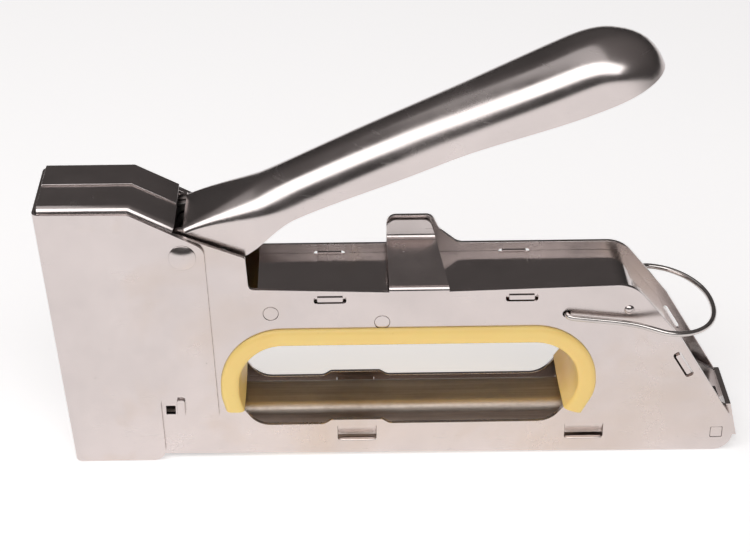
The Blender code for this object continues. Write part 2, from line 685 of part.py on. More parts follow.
def grip_liner(mats):
    """Moulded arch that lines the finger opening and clips over both plate edges."""
    seat = HALF + GAP
    rim = seat + LINER_RIM
    soft = LINER_EDGE
    section = [(0.0, soft - rim), (soft, -rim), (LINER_BAND - soft, -rim), (LINER_BAND, soft - rim),
               (LINER_BAND, -seat), (LINER_WALL, -seat), (LINER_WALL, seat), (LINER_BAND, seat),
               (LINER_BAND, rim - soft), (LINER_BAND - soft, rim), (soft, rim), (0.0, rim - soft)]
    lines = [[(x, y, z) for x, z in liner_path(offset)] for offset, y in section]
    return sweep("grip_liner", list(zip(*lines)), mats["yellow"])


def channel(name, half_width, top, bottom, x_low, x_high, thickness, radius, mat, origin=(0, 0, 0)):
    """Inverted U of thin sheet along X."""
    section = [(-half_width, bottom), (-half_width, top), (half_width, top), (half_width, bottom)]
    bm = bmesh.new()
    for (y0, z0), (y1, z1) in zip(section, section[1:]):
        add_panel(bm, [(x_low, y0, z0), (x_low, y1, z1), (x_high, y1, z1), (x_high, y0, z0)])
    bmesh.ops.remove_doubles(bm, verts=bm.verts, dist=1e-6)
    bmesh.ops.recalc_face_normals(bm, faces=bm.faces)
    top_face = max(bm.faces, key=lambda face: face.calc_center_median().z)
    if top_face.normal.z < 0:
        bmesh.ops.reverse_faces(bm, faces=bm.faces)
    bend_edges(bm, [lambda co: abs(co.z - top) < 0.01], radius)
    obj = make_object(name, bm, mat, origin)
    thicken(obj, thickness)
    return obj


# ---- Handle --------------------------------------------------------------------------------
def along_handle(s, t, y):
    """World point (mm) at s along the handle from its pivot and t above that line."""
    return (PIVOT[0] + s * math.cos(HANDLE_SLOPE) - t * math.sin(HANDLE_SLOPE), y,
            PIVOT[1] + s * math.sin(HANDLE_SLOPE) + t * math.cos(HANDLE_SLOPE))


def smooth_table(table, s):
    """Value at s of a smooth line through a few (s, value) knots."""
    for (s0, v0), (s1, v1) in zip(table, table[1:]):
        if s <= s1:
            share = (s - s0) / (s1 - s0)
            return v0 + (v1 - v0) * (3 * share ** 2 - 2 * share ** 3) if v0 != v1 else v0
    return table[-1][1]


def close_down(s, length, power):
    """Share of full size left at s, where the tip closes over its last length."""
    share = max(0.0, (s - HANDLE_LENGTH + length) / length)
    return (1 - share ** power) ** (1 / power)


def handle_section(s, arc_steps):
    """Section of the handle at s: points (y, t) from one lower edge over the crown to the other."""
    swell_from, swell_to = HANDLE_SWELL_S
    waist = HANDLE_HALF_FRONT - HANDLE_WAIST * math.sin(math.pi * min(1.0, s / swell_from))
    half = waist + smooth_table(((swell_from, 0.0), (swell_to, HANDLE_SWELL)), max(s, swell_from))
    half *= close_down(s, TIP_SIDES, TIP_ROUND[1])
    low = smooth_table(HANDLE_LOW, s)
    top = low + (smooth_table(HANDLE_TOP, s) - low) * close_down(s, TIP_CROWN, TIP_ROUND[0])
    shoulder = min(smooth_table(HANDLE_SHOULDER, s), 0.9 * (top - low))
    corner = min(shoulder * 1.25, half - 0.4)
    points = [(-half, low)]
    for step in range(arc_steps + 1):
        turn = math.pi / 2 * step / arc_steps
        points.append((-half + corner * (1 - math.cos(turn)), top - shoulder * (1 - math.sin(turn))))
    return points + [(-y, t) for y, t in reversed(points)]


def add_lobe(bm, row, last):
    """Round lobe of a cheek about the pivot, between the front row's two corners on that side."""
    section = handle_section(HANDLE_FRONT, ARC_STEPS)
    y, low_t = section[last]
    top_t = section[1][1]
    start = math.atan2(top_t, HANDLE_FRONT)
    end = math.atan2(low_t, HANDLE_FRONT) + 2 * math.pi
    lobe = [row[1 if last == 0 else -2]]
    steps = 10
    for step in range(1, steps):
        turn = start + (end - start) * step / steps
        lobe.append(bm.verts.new(Vector(along_handle(LOBE_RADIUS * math.cos(turn),
                                                     LOBE_RADIUS * math.sin(turn), y)) * MM))
    lobe.append(row[last])
    bm.faces.new(lobe)


def handle(mats):
    """Pressed channel: flat web and cheeks at the pivot, domed along the grip, closed round tip."""
    barrel = [s for s in HANDLE_BARREL if s < HANDLE_LENGTH - TIP_GAPS[0] - 2.0]
    stations = [HANDLE_FRONT, *barrel, *(HANDLE_LENGTH - gap for gap in TIP_GAPS)]
    bm = bmesh.new()
    rows = []
    for s in stations:
        rows.append([bm.verts.new(Vector(along_handle(s, t, y)) * MM)
                     for y, t in handle_section(s, ARC_STEPS)])
    for row, after in zip(rows, rows[1:]):
        for i in range(len(row) - 1):
            bm.faces.new((row[i], row[i + 1], after[i + 1], after[i]))
    bm.faces.new(rows[-1])
    add_lobe(bm, rows[0], 0)
    add_lobe(bm, rows[0], -1)
    bmesh.ops.recalc_face_normals(bm, faces=bm.faces)
    crown = max(bm.faces, key=lambda face: face.calc_center_median().z)
    if crown.normal.z < 0:
        bmesh.ops.reverse_faces(bm, faces=bm.faces)
    origin = (PIVOT[0], 0, PIVOT[1])
    obj = make_object("handle", bm, mats["chrome"], origin)
    thicken(obj, HANDLE_SHEET)
    combine(obj, guide("handle_holes", hinge_holes(), -HALF, HALF, mats["chrome"], origin), "DIFFERENCE")
    return obj


def hinge_holes():
    """The two cross holes that the handle and the lift lever share."""
    return [circle(*PIVOT, PIN_RADIUS + GAP), circle(*LEVER_PIN, LEVER_PIN_RADIUS + GAP)]


def lift_lever(mats):
    """Forked lever inside the handle's cheeks: its arms reach under the hammer's ears."""
    outline = rounded(LEVER_OUTLINE, 3)
    bm = bmesh.new()
    for side in (-1, 1):
        low, high = sorted((side * LEVER_OUTER, side * (LEVER_OUTER - LEVER_SHEET)))
        add_slab(bm, outline, low, high)
    origin = (PIVOT[0], 0, PIVOT[1])
    lever = make_object("lift_lever", bm, mats["dark"], origin)
    reach = LEVER_OUTER - BITE
    combine(lever, guide("lift_lever_web", [box_outline(*LEVER_WEB_X, *LEVER_WEB_Z)],
                         -reach, reach, mats["dark"], origin), "UNION")
    combine(lever, guide("lift_lever_holes", hinge_holes(), -HALF, HALF, mats["dark"], origin),
            "DIFFERENCE")
    return lever


# ---- Driver --------------------------------------------------------------------------------
def hammer(mats):
    """Block that carries the driver blade; its ears stand over the lever's arms."""
    bm = bmesh.new()
    add_slab(bm, leaned(box_outline(BLOCK_X, HAMMER_REAR, *HAMMER_Z)), -HAMMER_HALF, HAMMER_HALF)
    block = make_object("hammer", bm, mats["dark"])
    ears = guide("hammer_ears", [leaned(box_outline(*EAR_X, *EAR_Z))], -EAR_HALF, EAR_HALF,
                 mats["dark"])
    combine(block, ears, "UNION")
    post = guide("hammer_post", [leaned(circle(SPRING_X, HAMMER_Z[1], POST_RADIUS, 8))],
                 -POST_RADIUS, POST_RADIUS, mats["dark"])
    combine(block, post, "UNION")
    return block


# ---- Bail ----------------------------------------------------------------------------------
def bail_points():
    """The lock wire: hooked into each plate, along it, then out into a round ring."""
    y = BAIL_LEG_Y
    leg = [(0.0, INNER - BAIL_WIRE), (0.0, HALF + GAP), (0.35, y - 0.45), (1.4, y), (6.0, y),
           (12.0, y), (16.5, y + 0.07 * BAIL_FLARE), (20.0, y + 0.3 * BAIL_FLARE)]
    centre = BAIL_REACH - BAIL_RING
    ring = []
    steps = 9
    for step in range(steps):
        turn = BAIL_ARC * (1 - step / steps)
        ring.append((centre + BAIL_RING * math.cos(turn), (y + BAIL_FLARE) * math.sin(turn) ** 0.92))
    half = [*leg, *ring, (BAIL_REACH, 0.0)]
    points = half + [(r, -y) for r, y in reversed(half[:-1])]
    cos, sin = math.cos(BAIL_DROP), math.sin(BAIL_DROP)
    return [(BAIL_PIVOT[0] + r * cos, -y, BAIL_PIVOT[1] + r * sin) for r, y in points]


# ---- Magazine ------------------------------------------------------------------------------
def bar(name, x_low, x_high, z, radius, mat, origin=(0, 0, 0), sides=12):
    """Round bar along X."""
    rings = [[(x, y, height) for y, height in circle(0.0, z, radius, sides)]
             for x in (x_low, x_high)]
    return sweep(name, rings, mat, origin)


# ---- Assembly ------------------------------------------------------------------------------
def build_housing(mats):
    side_plate("left_side_plate", -1, mats)
    side_plate("right_side_plate", 1, mats)
    front_cover(mats)
    grip_strip(mats)
    grip_liner(mats)
    nose_slab("staple_guide", GUIDE_X, GUIDE_X + GUIDE_THICK, 0.0, GUIDE_TOP, GUIDE_HALF, mats["dark"])
    block = nose_slab("nose_block", BLOCK_X, BLOCK_X + BLOCK_DEPTH, MAGAZINE_TOP + 0.8, BLOCK_TOP,
                      GUIDE_HALF, mats["dark"])
    pin_holes = [circle(*nose_pin_place(z), NOSE_PIN_RADIUS + GAP, 12) for z in NOSE_PIN_HEIGHTS]
    combine(block, guide("nose_block_holes", pin_holes, -HALF, HALF, mats["dark"]), "DIFFERENCE")
    for name, z in zip(("lower_nose_pin", "upper_nose_pin"), NOSE_PIN_HEIGHTS):
        straight_pin(name, nose_pin_place(z), NOSE_PIN_RADIUS, HALF, mats["dark"])
    nose_slab("bumper", BLOCK_X, BLOCK_X + BLOCK_DEPTH, BLOCK_TOP + GAP, HAMMER_Z[0] - GAP,
              BUMPER_HALF, mats["rubber"])
    nose_slab("spring_seat", SPRING_X - SEAT_HALF, SPRING_X + SEAT_HALF, SEAT_Z, SEAT_TOP,
              SEAT_HALF, mats["dark"])
    slab("latch_keeper", box_outline(*KEEPER_X, *KEEPER_Z), -INNER + GAP, INNER - GAP, mats["dark"])
    channel("magazine_channel", MAGAZINE_WIDTH / 2, MAGAZINE_TOP, MAGAZINE_BOTTOM, MAGAZINE_FRONT,
            MAGAZINE_REAR, THIN_SHEET, MAGAZINE_BEND, mats["chrome"])
    under = COVER_HALF + GAP
    crown = under + PIN_HEAD_HEIGHT
    head = [(PIN_HEAD_RADIUS, under), (PIN_HEAD_RADIUS, crown - PIN_HEAD_ROUND),
            (PIN_HEAD_RADIUS - PIN_HEAD_ROUND, crown)]
    mirrored = [(radius, -y) for radius, y in reversed(head)]
    turned("handle_pin", *PIVOT, [*mirrored, (PIN_RADIUS, -under), (PIN_RADIUS, under), *head],
           mats["chrome"])
    shoulder = INNER - GAP
    for name, (x, z) in zip(("front_spacer_pin", "rear_spacer_pin"), SPACER_PINS):
        turned(name, x, z, [(SPACER_RADIUS, -HALF), (SPACER_RADIUS, -shoulder),
                            (SPACER_SHOULDER, -shoulder), (SPACER_SHOULDER, shoulder),
                            (SPACER_RADIUS, shoulder), (SPACER_RADIUS, HALF)], mats["chrome"], 12)
    for name, side in (("left_rear_tenon", -1), ("right_rear_tenon", 1)):
        low, high = sorted((side * (INNER - 1.0), side * HALF))
        slab(name, box_outline(TENON_X[0] + GAP, TENON_X[1] - GAP, TENON_Z[0] + GAP, TENON_Z[1] - GAP),
             low, high, mats["chrome"])


def build_driver(mats):
    nose_slab("driver_blade", DRIVER_X, DRIVER_X + DRIVER_THICK, DRIVER_BOTTOM,
              HAMMER_Z[1] + DRIVER_ABOVE, DRIVER_WIDTH / 2, mats["dark"])
    hammer(mats)
    low, high = HAMMER_Z[1] + GAP + SPRING_WIRE / 2, SEAT_Z - GAP - SPRING_WIRE / 2
    tube("main_spring", coil((SPRING_X + lean(low), 0, low), (SPRING_X + lean(high), 0, high),
                             SPRING_RADIUS, SPRING_TURNS), SPRING_WIRE, mats["spring"], resolution=1)


def build_pusher(mats):
    """Saddle that pushes the staples: it wraps the rail, and its foot hangs through the slot."""
    origin = (PUSHER_X, 0, 0)
    pusher = channel("pusher", STAPLE_CROWN / 2, STAPLE_TOP, STAPLE_TOP - STAPLE_LEG, PUSHER_X,
                     PUSHER_X + PUSHER_LENGTH, STRIP_STEEL, STRIP_BEND, mats["dark"], origin)
    foot_top = RAIL_TOP - THIN_SHEET - GAP
    tongue_x = (PUSHER_X + PUSHER_LENGTH - TONGUE_LENGTH, PUSHER_X + PUSHER_LENGTH)
    neck = guide("pusher_neck", [box_outline(*tongue_x, foot_top - BITE, STAPLE_TOP - STRIP_STEEL / 2)],
                 -TONGUE_HALF, TONGUE_HALF, mats["dark"], origin)
    combine(pusher, neck, "UNION")
    foot = guide("pusher_foot", [box_outline(*tongue_x, ROD_Z - ROD_RADIUS - 1.1, foot_top)],
                 -FOOT_HALF, FOOT_HALF, mats["dark"], origin)
    combine(pusher, foot, "UNION")
    combine(pusher, bar("pusher_bore", tongue_x[0] - 2.0, tongue_x[1] + 2.0, ROD_Z, ROD_RADIUS + GAP,
                        mats["dark"], origin), "DIFFERENCE")
    start = tongue_x[1] + GAP + PUSHER_WIRE / 2
    end = RAIL_END_X[0] - GAP - PUSHER_WIRE / 2
    tube("pusher_spring", coil((start, 0, ROD_Z), (end, 0, ROD_Z),
                               ROD_RADIUS + PUSHER_WIRE / 2 + 0.5, PUSHER_TURNS, 8),
         PUSHER_WIRE, mats["spring"], resolution=0)


def build_latch(mats):
    """Two ears on a pin, joined by a thumb plate that stands beyond the housing."""
    origin = (LATCH_PIN[0], 0, LATCH_PIN[1])
    straight_pin("latch_pin", LATCH_PIN, LATCH_PIN_RADIUS, LATCH_HALF, mats["chrome"])
    ears = rounded(LATCH_EARS, 2)
    bm = bmesh.new()
    for side in (-1, 1):
        low, high = sorted((side * (LATCH_HALF - SHEET), side * LATCH_HALF))
        add_slab(bm, ears, low, high)
    latch = make_object("rear_latch", bm, mats["chrome"], origin)
    reach = LATCH_HALF - GAP
    combine(latch, guide("rear_latch_thumb", [LATCH_THUMB], -reach, reach, mats["chrome"], origin),
            "UNION")
    pin_hole = circle(*LATCH_PIN, LATCH_PIN_RADIUS + GAP, 12)
    combine(latch, guide("rear_latch_holes", [pin_hole], -HALF, HALF, mats["chrome"], origin),
            "DIFFERENCE")


def build_magazine(mats):
    """Everything that slides out at the rear: rail, staples, pusher, its spring, and the latch."""
    origin = (RAIL_FRONT, 0, 0)
    rail = channel("staple_rail", RAIL_WIDTH / 2, RAIL_TOP, RAIL_BOTTOM, RAIL_FRONT, RAIL_REAR,
                   THIN_SHEET, RAIL_BEND, mats["dark"], origin)
    slot = guide("staple_rail_slot", [box_outline(*PUSHER_SLOT_X, RAIL_TOP - 2.0, RAIL_TOP + 2.0)],
                 -TONGUE_HALF - GAP, TONGUE_HALF + GAP, mats["dark"], origin)
    combine(rail, slot, "DIFFERENCE")
    pin_hole = circle(*LATCH_PIN, LATCH_PIN_RADIUS + GAP, 12)
    combine(rail, guide("staple_rail_pin_holes", [pin_hole], -HALF, HALF, mats["dark"], origin),
            "DIFFERENCE")
    channel("staples", STAPLE_CROWN / 2, STAPLE_TOP, STAPLE_TOP - STAPLE_LEG, RAIL_FRONT,
            RAIL_FRONT + STAPLE_STACK, STRIP_STEEL, STRIP_BEND, mats["chrome"], origin)
    bar("pusher_rod", RAIL_FRONT + ROD_SET, RAIL_END_X[0] - GAP, ROD_Z, ROD_RADIUS, mats["spring"], origin)
    end_half = RAIL_WIDTH / 2 - THIN_SHEET - GAP
    slab("rail_end", box_outline(*RAIL_END_X, RAIL_BOTTOM + 0.6, RAIL_TOP - THIN_SHEET - GAP),
         -end_half, end_half, mats["dark"], origin)
    build_pusher(mats)
    build_latch(mats)


def main():
    clear_scene()
    mats = {"chrome": material("nickel_plated_steel", CHROME, 0.25, 1.0),
            "dark": material("hardened_steel", DARK_STEEL, 0.4, 1.0),
            "spring": material("spring_steel", SPRING_STEEL, 0.35, 1.0),
            "yellow": material("yellow_plastic", YELLOW, 0.4, 0.0),
            "rubber": material("black_rubber", RUBBER, 0.8, 0.0)}
    build_housing(mats)
    handle(mats)
    lift_lever(mats)
    straight_pin("lever_pin", LEVER_PIN, LEVER_PIN_RADIUS, INNER - GAP, mats["dark"])
    build_driver(mats)
    build_magazine(mats)
    tube("bail_ring", bail_points(), BAIL_WIRE, mats["spring"], (BAIL_PIVOT[0], 0, BAIL_PIVOT[1]))


main()
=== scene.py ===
"""Looks of a hand staple gun: finely shaped sheet metal pieces, springs, liner and procedural finishes,
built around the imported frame. Outlines are drawn in millimetres in the XZ plane, with +X from the
nose to the rear, +Y to the right side plate and +Z up, and are turned into metres by the helpers.
"""
import json
import math

import bmesh
import bpy
from bpy.props import FloatProperty, FloatVectorProperty, IntProperty, PointerProperty
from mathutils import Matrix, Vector


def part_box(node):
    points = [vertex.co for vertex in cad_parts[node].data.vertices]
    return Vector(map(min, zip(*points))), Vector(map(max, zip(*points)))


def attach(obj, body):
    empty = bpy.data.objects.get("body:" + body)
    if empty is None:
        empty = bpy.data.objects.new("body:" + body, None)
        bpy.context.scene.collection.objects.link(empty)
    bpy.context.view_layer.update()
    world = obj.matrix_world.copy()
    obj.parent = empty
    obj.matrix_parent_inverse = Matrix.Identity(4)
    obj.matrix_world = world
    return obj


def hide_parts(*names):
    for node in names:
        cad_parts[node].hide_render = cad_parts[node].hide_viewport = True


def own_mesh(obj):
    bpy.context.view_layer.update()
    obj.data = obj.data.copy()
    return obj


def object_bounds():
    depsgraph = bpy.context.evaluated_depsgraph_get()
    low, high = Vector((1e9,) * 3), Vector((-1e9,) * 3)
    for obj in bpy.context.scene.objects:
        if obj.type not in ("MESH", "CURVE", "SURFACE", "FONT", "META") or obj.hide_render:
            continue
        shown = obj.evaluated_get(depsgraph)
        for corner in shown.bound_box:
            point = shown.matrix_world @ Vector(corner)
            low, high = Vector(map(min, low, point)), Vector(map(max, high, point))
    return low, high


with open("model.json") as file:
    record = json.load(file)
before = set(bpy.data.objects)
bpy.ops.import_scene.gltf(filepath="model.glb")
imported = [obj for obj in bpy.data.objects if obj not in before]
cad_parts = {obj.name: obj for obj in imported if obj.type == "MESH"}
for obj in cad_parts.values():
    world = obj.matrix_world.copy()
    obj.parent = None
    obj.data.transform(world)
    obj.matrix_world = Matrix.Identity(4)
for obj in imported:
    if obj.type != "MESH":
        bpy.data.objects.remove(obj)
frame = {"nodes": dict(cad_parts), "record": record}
CAD_LOW, CAD_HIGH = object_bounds()

bl_info = {
    "name": "Hand Staple Gun",
    "version": (1, 0, 0),
    "blender": (4, 5, 0),
    "location": "View3D > Sidebar > Staple Gun",
    "description": "Builds the visible pieces and finishes of a plated hand staple gun",
    "category": "Add Mesh",
}

MM = 0.001
WELD = 1e-6  # vertices this close, in metres, are one


def low(node):
    """Lowest corner of a frame node, in millimetres."""
    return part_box(node)[0] / MM


def high(node):
    """Highest corner of a frame node, in millimetres."""
    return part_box(node)[1] / MM


def span(node):
    """Lowest and highest corner of a frame node, in millimetres."""
    return low(node), high(node)


# ---- Places and sizes, in millimetres
GAP = 0.3  # clearance between touching pieces
HAIRLINE = 0.08  # gap round a riveted end
HALF = -low("left_rear_tenon").y  # outer face of a side plate
SHEET = 1.2
INNER = HALF - SHEET
COVER_SHEET = 0.8
COVER_HALF = high("front_cover").y
THIN_SHEET = 0.8
NOSE_LEAN = 5.8 / 74.7
NOSE_FRONT = -2.1  # front of the nose at the floor
NOSE_HEIGHT = high("left_side_plate").z
NOSE_CORNER_X = 16.4
NOSE_SLOPE = 0.52
FLANGE_END_X = 27.7
FLANGE_BEND = 2.0
FLANGE_STEP = high("right_side_plate").z - NOSE_HEIGHT
PLATE_FRONT = NOSE_FRONT + COVER_SHEET + 0.5
BASE_FRONT_Z = 1.5
GRIP_TOP_Z = 51.6
GRIP_START_X = 45.9
GRIP_START_SET = 0.6
REAR_X = 175.3
REAR_CORNERS = ((145.6, GRIP_TOP_Z, 9.0), (158.9, 35.3, 12.0), (REAR_X - 0.5, 9.2, 3.0))
COVER_HEIGHT = 74.5
COVER_EDGE = ((22.3, 0.0, 3.0), (21.6, 19.9, 2.0), (28.3, 19.9, 1.0), (28.4, 13.4, 0.4),
              (37.0, 13.4, 0.4), (34.9, 64.4, 3.5))
STRIP_RECESS = 2.6
STRIP_SET = 2.1
STRIP_REAR_SHARE = 0.62
STRIP_TABS = ((0, 18.8), (0, 68.5), (2, 7.3))
TAB_LENGTH = 6.6
TAB_HEIGHT = 1.3
SLOT_END_ROOM = 0.9
SLOT_SIDE_ROOM = 0.5
HUMP_FRONT_X = 82.1
HUMP_REAR_X = 97.7
HUMP_TOP_Z = 60.1
HUMP_FOLD_Z = 54.6
HUMP_NARROWING = 2.5
HUMP_BEND = 1.2
HUMP_CORNER = 2.5
UPRIGHT_NARROWING = 1.5
UPRIGHT_STEP = 0.6
UPRIGHT_LEAN = 0.95
HUMP_REAR_CURVE = ((101.5, GRIP_TOP_Z, 4.0), (96.3, 55.8, 3.0), (94.3, HUMP_TOP_Z, HUMP_CORNER))
WINDOW_TOP_Z = 35.0
WINDOW_BOTTOM_Z = 10.0
WINDOW_FRONT_X = 42.5
WINDOW_REAR_X = 132.2
WINDOW_RADIUS = 12.0
SILL_SLANT = 3.5
SILL_RADIUS = 7.0
SILL_RISE = 1.3  # the sill rises this much over a louvre pocket
LINER_BAND = 4.8
LINER_RIM = 1.1
LINER_WALL = 1.8
LINER_BEND_Z = 19.6
LINER_BEND = 11.0
LINER_FRONT_HOOK = 1.2
LINER_REAR_HOOK = 3.4
LINER_FRONT_END_Z = 15.0
LINER_REAR_END_Z = 13.0
LINER_END_SLANT = 1.6  # the rear leg is cut square to its own direction
LINER_CROWN = -0.2  # the wall is a little thicker in its middle
LINER_ROUND = (1.7, 1.1)  # round of the rim, along the plate and out of it
LOUVRES = ((73.6, 5.0), (134.6, 4.6))
LOUVRE_WIDTH = 10.4
LOUVRE_HEIGHT = 4.6
LOUVRE_DEPTH = 1.1
LOUVRE_LIP = 0.9  # the tongue's tip over the opening's lower edge
LOUVRE_ROOT = 0.4  # the tongue's root over the opening's upper edge
LOUVRE_SIDE_GAP = 0.12
LOUVRE_SET = 0.02  # the tongue's root under the plate's face
LIP_REACH = 0.7
LIP_BACK = 0.75  # the lip's middle under the plate's face
LIP_DROP = 0.28  # the lip's middle under the opening's lower edge
LIP_OUT = 1.05
LIP_TURN_IN = 3.2  # how far the lip's sheet is turned into the body
LIP_HALF = 0.5
POCKET_SIDE = 1.6  # the sill's rise reaches this far past a pocket
POCKET_SLOPE = 2.0
SPACER_RADIUS = 2.6
SPACER_END = 1.75  # radius of a spacer pin's riveted end
CATCH_HOLE_X = (22.9, 25.4)
CATCH_HOLE_Z = (13.9, 16.6)
CATCH_LUG_X = (25.9, 28.0)
CATCH_LUG_Z = (14.0, 18.8)
DIMPLE = (144.6, 44.3)
DIMPLE_RADIUS = 1.4
DIMPLE_HEIGHT = 0.8
PIVOT = (29.4, 61.9)
PIN_RADIUS = 2.5
HANDLE_SHEET = 1.2
HANDLE_SLOPE = math.radians(25.0)
HANDLE_LENGTH = 130.0
HANDLE_HALF_FRONT = INNER - 0.9
HANDLE_SWELL = 2.6
HANDLE_SWELL_S = (60.0, 108.0)
HANDLE_WAIST = 0.4
HANDLE_FRONT = 3.0
HANDLE_CAP = 0.1  # from the last section to the tip
HANDLE_TOP = ((HANDLE_FRONT, 5.9), (56, 6.5), (108, 5.9))
HANDLE_LOW = ((HANDLE_FRONT, -7.0), (13, -8.1), (30, -4.3), (70, -5.9), (118, -9.0))
HANDLE_SHOULDER = ((HANDLE_FRONT, 1.8), (32, 9.0), (130, 9.0))
TIP_CROWN = 22.0
TIP_SIDES = 15.0
TIP_ROUND = (2.4, 2.2)
BARREL_SECTIONS = 44
TIP_SECTIONS = 20
LOBE_RADIUS = 6.5
RIVET_CROWN = 0.95  # rise of the pivot rivet's domed head
END_SET = 0.05  # a riveted end's rim under the plate's face
LEVER_PIN = (39.6, 61.4)
LEVER_PIN_RADIUS = 1.5
STAPLE_WIRE = 0.8
BAIL_PIVOT = (128.3, 43.3)
BAIL_WIRE = 1.5
BAIL_LEG_Y = HALF + DIMPLE_HEIGHT + 0.35 + BAIL_WIRE / 2
BAIL_REACH = 41.0
BAIL_RING = 14.0
BAIL_FLARE = 3.4
BAIL_DROP = math.radians(-7.0)
BAIL_ARC = math.radians(97.0)
SPRING_WIRE = 1.7
SPRING_TURNS = 6
PUSHER_WIRE = 0.6
PUSHER_TURNS = 18
COIL_STEPS = 24  # steps in each turn
CLOSED_SHARE = 0.12  # share of the turns that each closed end takes
CLOSED_PITCH = 0.35  # pitch of a closed end, to the spring's mean pitch
TINY = 0.01


# ---- Settings
class StapleGunShape(bpy.types.PropertyGroup):
    """Fineness of the shapes."""
    edge_round: FloatProperty(
        name="Sheared Edge", description="Round on the edges of the sheet metal",
        default=0.00016, min=0.00002, max=0.0004, unit="LENGTH", precision=5)
    soft_edge: FloatProperty(
        name="Machined Edge", description="Bevel on the edges of the solid steel pieces",
        default=0.0002, min=0.00005, max=0.0005, unit="LENGTH", precision=5)
    corner_steps: IntProperty(
        name="Corner Steps", description="Facets in each rounded corner of an outline",
        default=10, min=4, max=24)
    staple_count: IntProperty(
        name="Staples", description="Staples in the glued strip", default=37, min=4, max=37)


class StapleGunFinish(bpy.types.PropertyGroup):
    """Colours of the finishes."""
    nickel: FloatVectorProperty(
        name="Nickel Plate", description="Colour of the plated sheet metal",
        subtype="COLOR", default=(0.69, 0.622, 0.605), min=0.0, max=1.0)
    stain: FloatVectorProperty(
        name="Plate Stain", description="Colour of the faint brownish stains in the plating",
        subtype="COLOR", default=(0.60, 0.49, 0.41), min=0.0, max=1.0)
    liner_yellow: FloatVectorProperty(
        name="Liner Yellow", description="Colour of the moulded liner",
        subtype="COLOR", default=(1.0, 0.69, 0.23), min=0.0, max=1.0)
    hardened: FloatVectorProperty(
        name="Hardened Steel", description="Colour of the inner steel pieces",
        subtype="COLOR", default=(0.36, 0.35, 0.34), min=0.0, max=1.0)
    floor: FloatVectorProperty(
        name="Floor", description="Colour of the pale floor",
        subtype="COLOR", default=(0.90, 0.89, 0.89), min=0.0, max=1.0)


# ---- Mesh helpers
def shape():
    """Sizes that are set in the panel."""
    return bpy.context.scene.staple_gun_shape


def lean(height):
    """Shift in X of the leaning nose at a height above the foot."""
    return -NOSE_LEAN * height


def rounded(corners, steps=None):
    """Outline from (x, z, radius) corners, with each corner turned into an arc."""
    steps = steps or shape().corner_steps
    points = []
    count = len(corners)
    for i, (x, z, radius) in enumerate(corners):
        here = Vector((x, z))
        before = (Vector(corners[i - 1][:2]) - here).normalized()
        after = (Vector(corners[(i + 1) % count][:2]) - here).normalized()
        half_angle = before.angle(after) / 2
        if radius <= 0 or half_angle > math.radians(89):
            points.append(here)
            continue
        centre = here + (before + after).normalized() * (radius / math.sin(half_angle))
        start = here + before * (radius / math.tan(half_angle)) - centre
        end = here + after * (radius / math.tan(half_angle)) - centre
        sweep = start.angle_signed(end)
        for step in range(steps + 1):
            turn = -sweep * step / steps
            points.append(centre + Vector((start.x * math.cos(turn) - start.y * math.sin(turn),
                                           start.x * math.sin(turn) + start.y * math.cos(turn))))
    return [(p.x, p.y) for p in points]


def turns(count):
    """Angles of a whole turn in even steps."""
    return [2 * math.pi * k / count for k in range(count)]


def circle(x, z, radius, sides=32):
    """Outline of a round hole or pin."""
    return [(x + radius * math.cos(t), z + radius * math.sin(t)) for t in turns(sides)]


def box_outline(x_low, x_high, z_low, z_high):
    """Outline of an upright rectangle."""
    return [(x_low, z_low), (x_high, z_low), (x_high, z_high), (x_low, z_high)]


def soft_box(x_low, x_high, z_low, z_high, radius):
    """Upright rectangle with rounded corners."""
    return rounded([(x, z, radius) for x, z in box_outline(x_low, x_high, z_low, z_high)], 4)


def add_slab(bm, outline, y_low, y_high):
    """Extrude an XZ outline between two Y planes."""
    near = [bm.verts.new((x * MM, y_low * MM, z * MM)) for x, z in outline]
    far = [bm.verts.new((x * MM, y_high * MM, z * MM)) for x, z in outline]
    faces = [bm.faces.new(near), bm.faces.new(far[::-1])]
    for i in range(len(near)):
        j = (i + 1) % len(near)
        faces.append(bm.faces.new((near[j], near[i], far[i], far[j])))
    bmesh.ops.recalc_face_normals(bm, faces=faces)


def add_panel(bm, points):
    """One face of a folded sheet."""
    return bm.faces.new([bm.verts.new(Vector(p) * MM) for p in points])


def add_loft(bm, rings, closed=True, caps=True):
    """Skin through rings of points; open rings make a sheet."""
    loops = [[bm.verts.new(Vector(point) * MM) for point in ring] for ring in rings]
    faces = []
    for loop, after in zip(loops, loops[1:]):
        for i in range(len(loop) if closed else len(loop) - 1):
            j = (i + 1) % len(loop)
            faces.append(bm.faces.new((loop[i], loop[j], after[j], after[i])))
    if caps:
        faces += [bm.faces.new(loops[0]), bm.faces.new(loops[-1])]
        bmesh.ops.recalc_face_normals(bm, faces=faces)
    return loops


def bend_edges(bm, tests, radius, segments=6):
    """Round the sheet's folds that pass any of the tests on both of their ends."""
    folds = [edge for edge in bm.edges if len(edge.link_faces) == 2
             and any(test(edge.verts[0].co / MM) and test(edge.verts[1].co / MM) for test in tests)]
    bmesh.ops.bevel(bm, geom=folds, offset=radius * MM, segments=segments,
                    affect="EDGES", profile=0.5)


def turn_out(bm, pick, direction):
    """Turn all of a sheet's faces alike, so that the picked one faces a direction."""
    bmesh.ops.recalc_face_normals(bm, faces=bm.faces)
    if pick(bm.faces).normal.dot(Vector(direction)) < 0:
        bmesh.ops.reverse_faces(bm, faces=bm.faces)


def first(faces):
    """The face that was made first."""
    return next(iter(faces))


def highest(faces):
    """The face whose middle is highest."""
    return max(faces, key=lambda face: face.calc_center_median().z)


def linked(name, mesh, mat):
    """A linked object that shows a mesh in one material."""
    mesh.materials.clear()
    mesh.materials.append(mat)
    obj = bpy.data.objects.new(name, mesh)
    bpy.context.scene.collection.objects.link(obj)
    return obj


